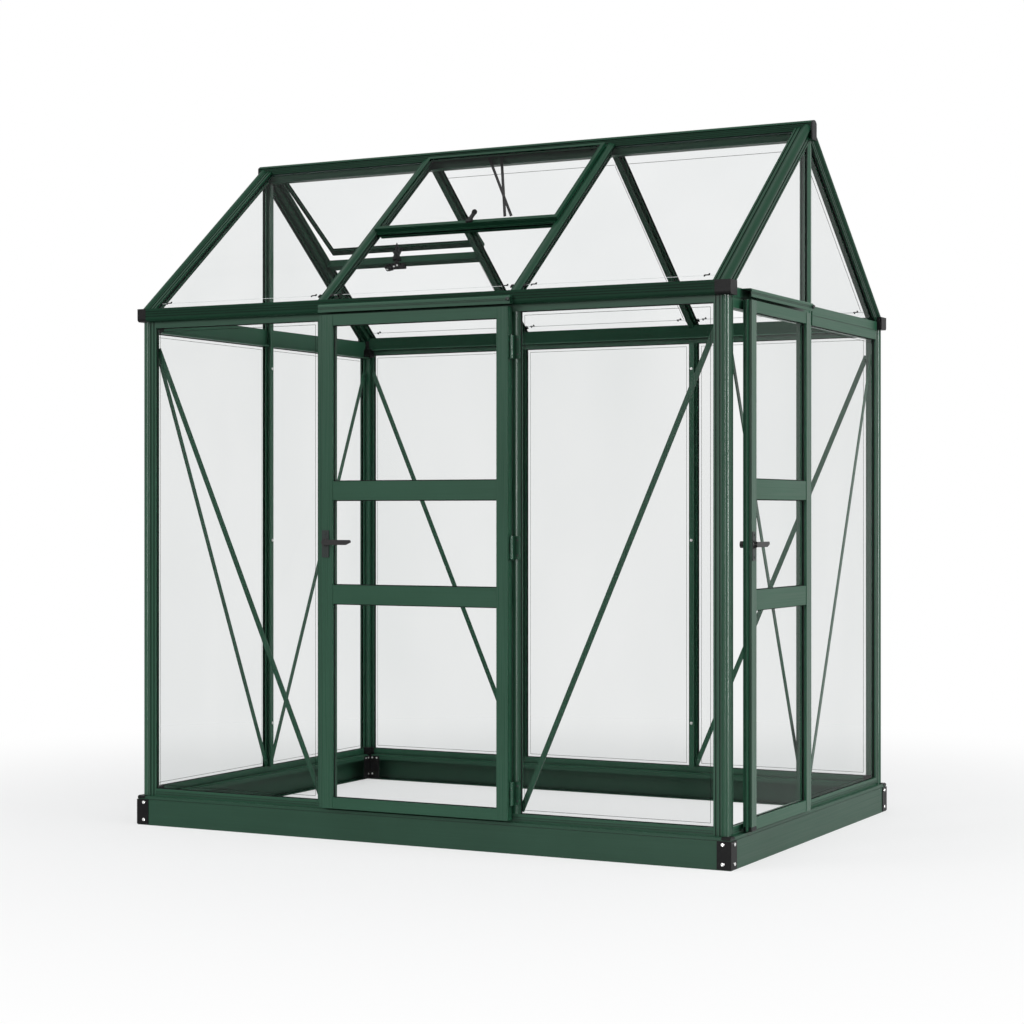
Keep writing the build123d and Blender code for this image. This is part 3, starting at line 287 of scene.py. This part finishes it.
WALL_UPRIGHT = powder_coat("green_coat_upright", WALL_GREEN, 0.28, LINES_UP, specular=0.28)
WALL_ALONG = powder_coat("green_coat_lengthwise", WALL_GREEN, 0.40, LINES_ALONG)
WALL_ACROSS = powder_coat("green_coat_crosswise", WALL_GREEN, 0.40, LINES_ACROSS)
BASE_ALONG = powder_coat("base_green_coat_lengthwise", BASE_GREEN, 0.42, LINES_ALONG)
BASE_ACROSS = powder_coat("base_green_coat_crosswise", BASE_GREEN, 0.42, LINES_ACROSS)
ROOF_ALONG = powder_coat("deep_green_coat_lengthwise", ROOF_GREEN, 0.38, LINES_ALONG, specular=0.06)
ROOF_ACROSS = powder_coat("deep_green_coat_crosswise", ROOF_GREEN, 0.38, LINES_ACROSS, specular=0.10)
FURNITURE = powder_coat("door_furniture_coat", PLATE_GREY, 0.42, LINES_UP)
LEVER = powder_coat("lever_coat", LEVER_GREY, 0.38, LINES_ALONG)
BLACK = moulded("black_moulding", PLASTIC_BLACK, 0.42, grain=1400.0)
RUBBER = moulded("rubber_seal", RUBBER_BLACK, 0.7, grain=2200.0)
STEEL = bare_steel("bright_screw_steel")
PANE_EDGE_HIGHLIGHT = moulded("painted_pane_edge_highlight", PANE_EDGE_HIGHLIGHT_GREY, 0.3, grain=900.0, specular=0.5)
GLASS_FRONT = clear_glass("clear_glass_front", normal=(0, 1, 0))
GLASS_GABLE = clear_glass("clear_glass_gable", normal=(1, 0, 0), bend=1.09)
GLASS_ROOF = clear_glass("clear_glass_roof", normal=(0, 0, 1), bend=1.07, tints=ROOF_PANE_TINTS)

# Coats of the bars that aren't upright
BAR_COATS = {
    "front_door_rails": WALL_ALONG,
    "sill_rails": WALL_ALONG,
    "wall_plates": WALL_ALONG,
    "door_headers": WALL_ALONG,
    "side_door_rails": WALL_ACROSS,
    "gable_rails": WALL_ACROSS,
    "base_front": BASE_ALONG,
    "base_back": BASE_ALONG,
    "base_left": BASE_ACROSS,
    "base_right": BASE_ACROSS,
    "front_gutter": ROOF_ALONG,
    "back_gutter": ROOF_ALONG,
    "ridge_beam": ROOF_ALONG,
    "vent_bars": ROOF_ALONG,
    "vent_frames": ROOF_ALONG,
    "roof_rafters": ROOF_ACROSS,
    "front_verges": ROOF_ACROSS,
    "back_verges": ROOF_ACROSS,
}


def look_of(name):
    slot = slot_of[name]
    if slot == "black_plastic":
        return BLACK
    if slot == "door_furniture":
        return LEVER if name.endswith("lever") else FURNITURE
    if slot == "clear_glass":
        if "gable" in name or name.startswith("side"):
            return GLASS_GABLE
        return GLASS_ROOF if "roof" in name or "vent" in name else GLASS_FRONT
    return BAR_COATS.get(name, WALL_UPRIGHT)


for name, piece in nodes.items():
    look = look_of(name)
    for slot in piece.material_slots:
        slot.material = look
    if not piece.material_slots:
        piece.data.materials.append(look)


# Mesh helpers: every small part is a skin over rings of points
UP = Vector((0, 0, 1))
PAN_HEAD = ((1.0, 0.0), (1.0, 0.22), (0.86, 0.42), (0.55, 0.50), (0.40, 0.46), (0.30, 0.18))
ROUND_HEAD = ((1.0, 0.0), (0.97, 0.25), (0.75, 0.50), (0.40, 0.62), (0.22, 0.60), (0.16, 0.35))
NUT = ((1.0, 0.0), (1.0, 0.60), (0.86, 0.75))
BOLT_END = ((0.5, 0.0), (0.5, 1.05), (0.4, 1.20))
HALF_ROUND = ((-0.5, 0.0), (-0.36, 0.72), (0.0, 1.0), (0.36, 0.72), (0.5, 0.0))


def basis(out, up):
    z = Vector(out).normalized()
    y = Vector(up)
    y = (y - z * y.dot(z)).normalized()
    return y.cross(z), y, z


def skin(form, rings):
    for low, high in zip(rings, rings[1:]):
        count = len(low)
        for i in range(count):
            form.faces.new((low[i], low[(i + 1) % count], high[(i + 1) % count], high[i]))
    form.faces.new(list(reversed(rings[0])))
    form.faces.new(rings[-1])


def lathe(form, place, out, profile, scale=1.0, segments=16):
    """Turned form: the profile gives radius and height above the place, times the scale."""
    up = (0, 0, 1) if abs(Vector(out).normalized().z) < 0.8 else (1, 0, 0)
    x, y, z = basis(out, up)
    rings = []
    for radius, height in profile:
        ring = []
        for i in range(segments):
            turn = 2 * math.pi * i / segments
            spoke = x * math.cos(turn) + y * math.sin(turn)
            ring.append(form.verts.new(Vector(place) + (spoke * radius + z * height) * scale))
        rings.append(ring)
    skin(form, rings)


def block(form, place, out, up, size, chamfer):
    """Chamfered block, its size given along the side, up and out, standing out from the place."""
    x, y, z = basis(out, up)
    width, height, depth = size
    rings = []
    for inset, rise in ((chamfer, 0), (0, chamfer), (0, depth - chamfer), (chamfer, depth)):
        a = width / 2 - inset
        b = height / 2 - inset
        outline = (
            (a, chamfer - b), (a, b - chamfer), (a - chamfer, b), (chamfer - a, b),
            (-a, b - chamfer), (-a, chamfer - b), (chamfer - a, -b), (a - chamfer, -b),
        )
        rings.append([form.verts.new(Vector(place) + x * u + y * v + z * rise) for u, v in outline])
    skin(form, rings)


def bead(form, start, end, out, section):
    """Half-round strip between two points; its section gives its width and height."""
    width, height = section
    side = (end - start).normalized().cross(out)
    offsets = [side * (u * width) + out * (v * height) for u, v in HALF_ROUND]
    skin(form, [[form.verts.new(point + offset) for offset in offsets] for point in (start, end)])


def screw(form, place, out, radius, profile=PAN_HEAD):
    lathe(form, place, out, profile, radius)


def nut(form, place, out, radius):
    lathe(form, place, out, NUT, radius, segments=6)
    lathe(form, place, out, BOLT_END, radius, segments=12)


def finish_piece(name, form, look, body="house"):
    bmesh.ops.recalc_face_normals(form, faces=form.faces)
    mesh = bpy.data.meshes.new(name)
    form.to_mesh(mesh)
    form.free()
    mesh.materials.append(look)
    made = bpy.data.objects.new(name, mesh)
    scene.collection.objects.link(made)
    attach(made, body)
    return made


class Face:
    """Outer plane of a wall or a roof slope: a place on it is given across, up and inward.

    The bars are given as half the face's length and the middles of its mullions or rafters. The bay
    that opens is a door's or a vent's.
    """

    def __init__(self, origin, across, up, out, bars, opens=None):
        self.origin, self.across, self.up, self.out = (Vector(v) for v in (origin, across, up, out))
        self.half, self.mullions = bars
        self.opens = opens

    def at(self, u, v, depth=0.0):
        return self.origin + self.across * u + self.up * v - self.out * depth

    def bays(self):
        """Left and right edge of each bay between the bars, and whether it opens."""
        edges = [FLANGE - self.half]
        for middle in self.mullions:
            edges += [middle - CAP, middle + CAP]
        edges.append(self.half - FLANGE)
        pairs = zip(edges[::2], edges[1::2])
        return [(left, right, index == self.opens) for index, (left, right) in enumerate(pairs)]

    def strip(self, form, start, end, depth, section):
        bead(form, self.at(*start, depth), self.at(*end, depth), self.out, section)

    def outline(self, form, bounds, inset, depth, section):
        """Strip round a pane's opening, whose left, right, low and high edges are given."""
        left, right, low, high = bounds
        left, right, low, high = left + inset, right - inset, low + inset, high - inset
        corners = [(left, low), (right, low), (right, high), (left, high)]
        for start, end in zip(corners, corners[1:] + corners[:1]):
            self.strip(form, start, end, depth, section)

    def pad(self, form, place, size, chamfer):
        block(form, self.at(*place), self.out, self.up, size, chamfer)

    def inner_pad(self, form, place, size, chamfer):
        block(form, self.at(*place), -self.out, self.up, size, chamfer)


LONG_BARS = (HALF_LENGTH, (-MULLION, MULLION))
GABLE_BARS = (HALF_WIDTH, (0.0,))
FRONT = Face((0, -HALF_WIDTH, 0), (1, 0, 0), UP, (0, -1, 0), LONG_BARS, opens=1)
BACK = Face((0, HALF_WIDTH, 0), (-1, 0, 0), UP, (0, 1, 0), LONG_BARS)
RIGHT = Face((HALF_LENGTH, 0, 0), (0, 1, 0), UP, (1, 0, 0), GABLE_BARS, opens=0)
LEFT = Face((-HALF_LENGTH, 0, 0), (0, -1, 0), UP, (-1, 0, 0), GABLE_BARS)
WALLS = (FRONT, BACK, LEFT, RIGHT)


def roof_slope(side, opens):
    """Slope over the front wall for side -1, over the back one for side 1."""
    up = (0, -side * SLOPE_COS, SLOPE_SIN)
    out = (0, side * SLOPE_SIN, SLOPE_COS)
    return Face((0, side * HALF_WIDTH, ROOF_START), (1, 0, 0), up, out, LONG_BARS, opens)


FRONT_SLOPE = roof_slope(-1, opens=1)
BACK_SLOPE = roof_slope(1, opens=0)
SLOPES = (FRONT_SLOPE, BACK_SLOPE)

# Places on the roof: up the slope from the wall's plane, and down it from the ridge
SEAL_START, PANE_FOOT = 0.004, 0.029
RIDGE_LAP, HEAD_DROP = 0.020, 0.072
PANE_HEAD = SLOPE_LENGTH - HEAD_DROP

# Sections of the strips, width and height
SEAL = (0.0026, 0.0018)
HALF_SEAL = SEAL[0] / 2
WALL_EDGE, WALL_EDGE_INSET = (0.0011, 0.0004), 0.0105
HEAD_EDGE, HEAD_EDGE_INSET = (0.0016, 0.0005), 0.004
SIDE_EDGE, SIDE_EDGE_INSET = (0.0014, 0.0005), 0.011
FOOT_EDGE, FOOT_EDGE_INSET = (0.0018, 0.0005), 0.003


def wall_panes():
    """Face and left, right, low and high edge of each fixed pane of the walls."""
    panes = []
    for face in WALLS:
        high = PLATE_BOTTOM if face in (FRONT, BACK) else GABLE_BAR_BOTTOM
        panes += [(face, (left, right, SILL_TOP, high)) for left, right, opens in face.bays() if not opens]
    return panes


def gable_point_seal(form, wall, side):
    """Seal round one of the two three-cornered panes over a gable's rail."""
    under_flange = APEX - FLANGE / SLOPE_COS
    tip = under_flange - CAP * SLOPE_TAN
    reach = (under_flange - GABLE_BAR_TOP) / SLOPE_TAN
    tip_gap, reach_gap = 0.002, 0.001
    corners = [
        (side * (CAP + HALF_SEAL), GABLE_BAR_TOP),
        (side * (CAP + HALF_SEAL), tip - tip_gap),
        (side * (reach - reach_gap), GABLE_BAR_TOP + HALF_SEAL),
    ]
    for start, end in zip(corners, corners[1:] + corners[:1]):
        wall.strip(form, start, end, PANE_OUT, SEAL)


def glazing_seals():
    """Rubber seals round the fixed panes of the walls, and up both sides of the roof panes."""
    form = bmesh.new()
    for face, bounds in wall_panes():
        face.outline(form, bounds, HALF_SEAL, PANE_OUT, SEAL)
    for wall in (LEFT, RIGHT):
        for side in (-1, 1):
            gable_point_seal(form, wall, side)
    for slope in SLOPES:
        for left, right, vented in slope.bays():
            top = VENT_BAR_PLACE if vented else SLOPE_LENGTH - RIDGE_LAP
            for x in (left + HALF_SEAL, right - HALF_SEAL):
                slope.strip(form, (x, SEAL_START), (x, top), PANE_OUT, SEAL)
    finish_piece("glazing_seals", form, RUBBER)


def ground_pane_edges():
    """Fine dark lines of ground edges: round the wall panes, on the back roof panes' heads and one side."""
    form = bmesh.new()
    for face, bounds in wall_panes():
        face.outline(form, bounds, WALL_EDGE_INSET, PANE_OUT, WALL_EDGE)
    side_start, side_gap = 0.034, 0.004
    for left, right, vented in BACK_SLOPE.bays():
        if not vented:
            start, end = (left + HEAD_EDGE_INSET, PANE_HEAD), (right - HEAD_EDGE_INSET, PANE_HEAD)
            BACK_SLOPE.strip(form, start, end, PANE_OUT, HEAD_EDGE)
        top = VENT_BAR_PLACE if vented else PANE_HEAD - side_gap
        x = right - SIDE_EDGE_INSET
        BACK_SLOPE.strip(form, (x, side_start), (x, top), PANE_OUT, SIDE_EDGE)
    finish_piece("ground_pane_edges", form, RUBBER)


def pane_foot_highlights():
    """Painted highlight: a light grey strip along each roof pane's lower edge."""
    form = bmesh.new()
    for slope in SLOPES:
        for left, right, _ in slope.bays():
            start, end = (left + FOOT_EDGE_INSET, PANE_FOOT), (right - FOOT_EDGE_INSET, PANE_FOOT)
            slope.strip(form, start, end, PANE_OUT, FOOT_EDGE)
    finish_piece("pane_foot_highlights", form, PANE_EDGE_HIGHLIGHT)


# Door leaves: their boxes give the edges, and the lip beyond the free edge isn't part of the stile
FRONT_LEAF, SIDE_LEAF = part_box("front_door_stiles"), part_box("side_door_stiles")
LEAF_FACE = -HALF_WIDTH - FRONT_LEAF[0].y
LEAF_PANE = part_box("front_door_glass")[0].y - FRONT_LEAF[0].y
LEAF_LOWS = [FRONT_LEAF[0].z + END_RAIL] + [place + MIDDLE_RAIL for place in MIDDLE_RAIL_PLACES]
LEAF_HIGHS = [*MIDDLE_RAIL_PLACES, FRONT_LEAF[1].z - END_RAIL]
LEAVES = (
    ("front_door", FRONT, FRONT_LEAF[0].x + LEAF_LIP, FRONT_LEAF[1].x),
    ("side_door", RIGHT, SIDE_LEAF[0].y + LEAF_LIP, SIDE_LEAF[1].y),
)


def door_seals(name, wall, free, hinged):
    """Rubber seals round a door's three panes."""
    form = bmesh.new()
    left, right, depth = free + STILE, hinged - STILE, LEAF_PANE - LEAF_FACE
    for low, high in zip(LEAF_LOWS, LEAF_HIGHS):
        wall.outline(form, (left, right, low, high), HALF_SEAL, depth, SEAL)
    finish_piece(f"{name}_seals", form, RUBBER, name)


def pane_clips_and_pads():
    """Black clips on the lower edge of each roof pane, and a pad on each side of a rafter's foot."""
    form = bmesh.new()
    clip_inset, clip_size, clip_chamfer = 0.028, (0.017, 0.0034, 0.0026), 0.0008
    lug_reach, lug_lean, lug_size = 0.0055, 0.6, (0.0042, 0.0062, 0.0030)
    pad_gap, pad_place, pad_lift = 0.0045, 0.0225, 0.0002
    pad_size, pad_chamfer = (0.0080, 0.0130, 0.0050), 0.0014
    for slope in SLOPES:
        for left, right, _ in slope.bays():
            for x in (left + clip_inset, right - clip_inset):
                slope.pad(form, (x, PANE_FOOT, PANE_OUT), clip_size, clip_chamfer)
                for reach in (-lug_reach, lug_reach):
                    place = (x + reach, PANE_FOOT + reach * lug_lean, PANE_OUT)
                    slope.pad(form, place, lug_size, clip_chamfer)
        for rafter in slope.mullions:
            for side in (-1, 1):
                place = (rafter + side * (CAP + pad_gap), pad_place, PANE_OUT - pad_lift)
                slope.pad(form, place, pad_size, pad_chamfer)
    finish_piece("pane_clips_and_pads", form, BLACK)


def bracket_screws(form):
    """Screws on the front and right faces of the base's corner brackets."""
    heights = (0.0155, 0.0655)
    inset, proud, radius = 0.022, BRACKET_SHEET - SINK, 0.0048
    for z in heights:
        for side in (-1, 1):
            screw(form, (side * (BASE_X - inset), -BASE_Y - proud, z), FRONT.out, radius)
        for side in (-1, 1):
            screw(form, (BASE_X + proud, side * (BASE_Y - inset), z), RIGHT.out, radius)


def base_corner_angles(screws):
    """Black angles inside the base's corners, with their screws."""
    form = bmesh.new()
    leg, height, sheet, chamfer = 0.038, 0.077, 0.0018, 0.0005
    middle, sink = 0.0445, 0.0002
    screw_places, radius = ((0.011, 0.076), (0.028, 0.076), (0.011, 0.022)), 0.0030
    for x_side in (-1, 1):
        for y_side in (-1, 1):
            inner_x, inner_y = BASE_X - BASE_LEDGE + sink, BASE_Y - BASE_LEDGE + sink
            corner = Vector((x_side * inner_x, y_side * inner_y, 0))
            legs = (Vector((-x_side, 0, 0)), Vector((0, -y_side, 0)))
            for along, out in (legs, legs[::-1]):
                place = corner + along * (leg / 2) + UP * middle
                block(form, place, out, UP, (leg, height, sheet), chamfer)
                for reach, z in screw_places:
                    screw(screws, corner + along * reach + out * (sheet - SINK) + UP * z, out, radius)
    finish_piece("base_corner_angles", form, BLACK)


def hinge_screws_and_header_knobs():
    """Painted screws in the hinges' fixed leaves, and the knob on the end of each door's header."""
    form = bmesh.new()
    hinge_heights, spread, radius = (0.160, 0.815, 1.350), 0.020, 0.0028
    knob = [(0.0052, 0), (0.0056, 0.0018), (0.0050, 0.0042), (0.0034, 0.0060), (0.0014, 0.0066)]
    knob_height = 1.4765
    for wall, hinge_place, knob_place in ((FRONT, 0.3115, 0.2965), (RIGHT, -0.0660, -0.0680)):
        for z in hinge_heights:
            for rise in (-spread, spread):
                screw(form, wall.at(hinge_place, z + rise, SINK - HINGE_SHEET), wall.out, radius)
        lathe(form, wall.at(knob_place, knob_height, SINK - HEADER_REACH), wall.out, knob)
    finish_piece("hinge_screws_and_header_knobs", form, FURNITURE)


def mullion_nuts():
    """Steel nuts on the inner side of every mullion."""
    form = bmesh.new()
    heights, sink, radius = (0.243, 0.821, 1.363), 0.0002, 0.0048
    for z in heights:
        for wall in WALLS:
            for middle in wall.mullions:
                nut(form, wall.at(middle, z, BAR_DEPTH - sink), -wall.out, radius)
    finish_piece("mullion_nuts", form, STEEL)


def brace_bolts():
    """Painted bolt near each end of every diagonal brace, on its inner side."""
    form = bmesh.new()
    low, high = SILL_TOP + BRACE_RISE, EAVE - BRACE_DROP
    shares = (0.010, 0.990)
    depth, radius = RAIL_DEPTH + BRACE_SHEET - SINK, 0.0050
    for wall in WALLS:
        foot = wall.mullions[-1] + BRACE_REACH
        top = wall.half - BAR_DEPTH - BRACE_POST_GAP
        for side in (1, -1):
            for share in shares:
                across, z = side * (foot + (top - foot) * share), low + (high - low) * share
                screw(form, wall.at(across, z, depth), -wall.out, radius, ROUND_HEAD)
    finish_piece("brace_bolts", form, WALL_UPRIGHT)


def handle_parts(name, wall, free):
    """Screws of a door's handle plate, and the collar round the lever's spindle."""
    spindle_inset, spindle_height = 0.012, 0.826
    screw_heights, radius = (0.793, 0.851), 0.0030
    across, depth = free + spindle_inset, SINK - LEAF_FACE - PLATE_SHEET
    form = bmesh.new()
    for z in screw_heights:
        screw(form, wall.at(across, z, depth), wall.out, radius)
    finish_piece(f"{name}_plate_screws", form, FURNITURE, name)
    form = bmesh.new()
    collar = [(0.0105, 0), (0.0110, 0.0010), (0.0100, 0.0021), (0.0085, 0.0024)]
    lathe(form, wall.at(across, spindle_height, depth), wall.out, collar, segments=24)
    finish_piece(f"{name}_lever_collar", form, LEVER, name)


def side_door_stile_plug(free):
    """Black plug in the foot of the gable door's free stile."""
    form = bmesh.new()
    height, depth, size, chamfer = 0.0931, -0.0060, (0.0352, 0.0125, 0.0240), 0.0016
    RIGHT.pad(form, (free + STILE / 2, height, depth), size, chamfer)
    finish_piece("side_door_stile_plug", form, BLACK, "side_door")


def rim_corner_caps():
    """Black caps over the base's rim at its corners."""
    form = bmesh.new()
    width, height, overhang, rise, chamfer = 0.0290, 0.0100, 0.0010, 0.0022, 0.0026
    inset = width / 2 - overhang
    for x_side in (-1, 1):
        for y_side in (-1, 1):
            place = (x_side * (BASE_X - inset), y_side * (BASE_Y - inset), BASE_TOP + rise - height)
            block(form, place, UP, (0, 1, 0), (width, width, height), chamfer)
    finish_piece("rim_corner_caps", form, BLACK)


# Casting on the back vent's stay: each block's place across and up the slope, its height, has a screw
CASTING_DEPTH = 0.0195
CASTING = (
    (-0.654, 0.350, 0.010, True), (-0.638, 0.358, 0.016, False),
    (-0.622, 0.364, 0.012, True), (-0.607, 0.370, 0.014, True),
)


def front_vent_catch(form):
    """Catch on the front vent's sash: a foot and a tongue on its lower rail, and a turned pin."""
    across, sash_top, chamfer = 0.018, -0.0102, 0.0015
    tongue_sink, pin_sink = 0.001, 0.006
    FRONT_SLOPE.pad(form, (across, 0.356, sash_top), (0.020, 0.014, 0.007), chamfer)
    FRONT_SLOPE.pad(form, (across, 0.376, sash_top - tongue_sink), (0.013, 0.040, 0.007), chamfer)
    pin = [(0.0040, 0), (0.0068, 0.003), (0.0080, 0.008), (0.0068, 0.013), (0.0030, 0.016)]
    lathe(form, FRONT_SLOPE.at(across, 0.390, sash_top - pin_sink), FRONT_SLOPE.up, pin)


def back_vent_casting(form):
    """Casting on the back vent's stay, with its spear and the bridge that carries the spear."""
    step, bridge, chamfer = (0.017, 0.022), (0.013, 0.054, 0.010), 0.002
    spear_place, bridge_place = (-0.600, 0.301, 1.738), (-0.600, 0.392, 0.0130)
    for across, up, height, _ in CASTING:
        BACK_SLOPE.inner_pad(form, (across, up, CASTING_DEPTH), (*step, height), chamfer)
    spear = [(0.0052, 0), (0.0060, 0.004), (0.0042, 0.012), (0.0066, 0.020)]
    spear += [(0.0050, 0.029), (0.0015, 0.040)]
    lathe(form, spear_place, UP, spear)
    BACK_SLOPE.inner_pad(form, bridge_place, bridge, chamfer)


def vent_catches():
    form = bmesh.new()
    front_vent_catch(form)
    back_vent_casting(form)
    finish_piece("vent_catches", form, BLACK)


def vent_stay_screws():
    """Bright screws under the casting."""
    form = bmesh.new()
    radius = 0.0034
    for across, up, height, screwed in CASTING:
        if screwed:
            place = BACK_SLOPE.at(across, up, CASTING_DEPTH + height - SINK)
            screw(form, place, -BACK_SLOPE.out, radius)
    finish_piece("vent_stay_screws", form, STEEL)


# The pieces
glazing_seals()
ground_pane_edges()
pane_foot_highlights()
for name, wall, free, hinged in LEAVES:
    door_seals(name, wall, free, hinged)
pane_clips_and_pads()
house_screws = bmesh.new()
bracket_screws(house_screws)
base_corner_angles(house_screws)
finish_piece("house_screws", house_screws, STEEL)
hinge_screws_and_header_knobs()
mullion_nuts()
brace_bolts()
for name, wall, free, hinged in LEAVES:
    handle_parts(name, wall, free)
side_door_stile_plug(LEAVES[1][2])
rim_corner_caps()
vent_catches()
vent_stay_screws()

# Floor plane
FLOOR_SIZE = 60
floor_mesh = bpy.data.meshes.new("floor")
floor_form = bmesh.new()
bmesh.ops.create_grid(floor_form, x_segments=8, y_segments=8, size=FLOOR_SIZE)
floor_form.to_mesh(floor_mesh)
floor_form.free()
floor = bpy.data.objects.new("floor", floor_mesh)
scene.collection.objects.link(floor)


def seen_by_eye(tree):
    """1 for camera, mirror and glass rays, 0 for the rays that light the object."""
    path = tree.nodes.new("ShaderNodeLightPath").outputs
    direct = maths(tree, "MAXIMUM", path["Is Camera Ray"], path["Is Glossy Ray"])
    return maths(tree, "MAXIMUM", direct, path["Is Transmission Ray"])


def floor_white():
    """White far away, and near the greenhouse white with the grey of its soft shadow."""
    bounced, seen_bounce, seen_glow = 0.86, 0.29, 0.62
    shadow_radius, white_radius = 1.0, 3.2
    mat, tree, out = new_material("floor_white")
    seen = seen_by_eye(tree)
    matte = tree.nodes.new("ShaderNodeBsdfDiffuse")
    less_when_seen = maths(tree, "MULTIPLY", seen, bounced - seen_bounce)
    tree.links.new(maths(tree, "SUBTRACT", bounced, less_when_seen), matte.inputs["Color"])
    glow = tree.nodes.new("ShaderNodeEmission")
    tree.links.new(maths(tree, "MULTIPLY", seen, seen_glow), glow.inputs["Strength"])
    near = tree.nodes.new("ShaderNodeAddShader")
    tree.links.new(matte.outputs[0], near.inputs[0])
    tree.links.new(glow.outputs[0], near.inputs[1])
    white = tree.nodes.new("ShaderNodeEmission")
    tree.links.new(seen, white.inputs["Strength"])
    distance = tree.nodes.new("ShaderNodeVectorMath")
    distance.operation = "LENGTH"
    tree.links.new(coords(tree), distance.inputs[0])
    fade = tree.nodes.new("ShaderNodeMapRange")
    fade.interpolation_type = "SMOOTHSTEP"
    fade.inputs["From Min"].default_value = shadow_radius
    fade.inputs["From Max"].default_value = white_radius
    tree.links.new(distance.outputs["Value"], fade.inputs["Value"])
    tree.links.new(mixed(tree, fade.outputs[0], near.outputs[0], white.outputs[0]), out.inputs["Surface"])
    return mat


floor_mesh.materials.append(floor_white())

# World: soft light, shown as white
LIGHT_COLOUR, LIGHT_STRENGTH = (0.95, 0.98, 1.0), 0.50
world = bpy.data.worlds.new("studio")
scene.world = world
world.use_nodes = True
tree = world.node_tree
for old in list(tree.nodes):
    tree.nodes.remove(old)
out = tree.nodes.new("ShaderNodeOutputWorld")
light = tree.nodes.new("ShaderNodeBackground")
light.inputs["Color"].default_value = (*LIGHT_COLOUR, 1)
light.inputs["Strength"].default_value = LIGHT_STRENGTH
shown = tree.nodes.new("ShaderNodeBackground")
shown.inputs["Color"].default_value = (1, 1, 1, 1)
tree.links.new(mixed(tree, seen_by_eye(tree), light.outputs[0], shown.outputs[0]), out.inputs["Surface"])


def soft_box(name, place, aim, size, power, mirrored=False, lights=True):
    """Area lamp: mirrored says that glossy bars reflect it, lights that it lights matt faces."""
    data = bpy.data.lights.new(name, "AREA")
    data.shape = "RECTANGLE"
    data.size, data.size_y = size
    data.energy = power
    lamp = bpy.data.objects.new(name, data)
    scene.collection.objects.link(lamp)
    lamp.location = place
    lamp.rotation_euler = (Vector(aim) - Vector(place)).to_track_quat("-Z", "Y").to_euler()
    lamp.visible_camera = False
    lamp.visible_glossy = mirrored
    lamp.visible_diffuse = lights


# The strips show only as highlights on the curved bars
STRIP = (0.30, 2.8)
soft_box("top_light", (0.6, -1.0, 5.2), (0, 0, 0.8), (5.0, 4.0), power=70)
soft_box("left_light", (-3.2, -5.0, 3.7), (0, 0, 1.2), (2.6, 2.4), power=105, mirrored=True)
soft_box("right_light", (5.2, -0.4, 3.4), (0, 0, 1.5), (2.2, 3.0), power=140)
soft_box("right_strip", (4.6, -1.6, 1.3), (0, 0, 1.3), STRIP, power=300, mirrored=True, lights=False)
soft_box("front_strip", (0.4, -5.6, 1.2), (0, 0, 1.2), STRIP, power=150, mirrored=True, lights=False)
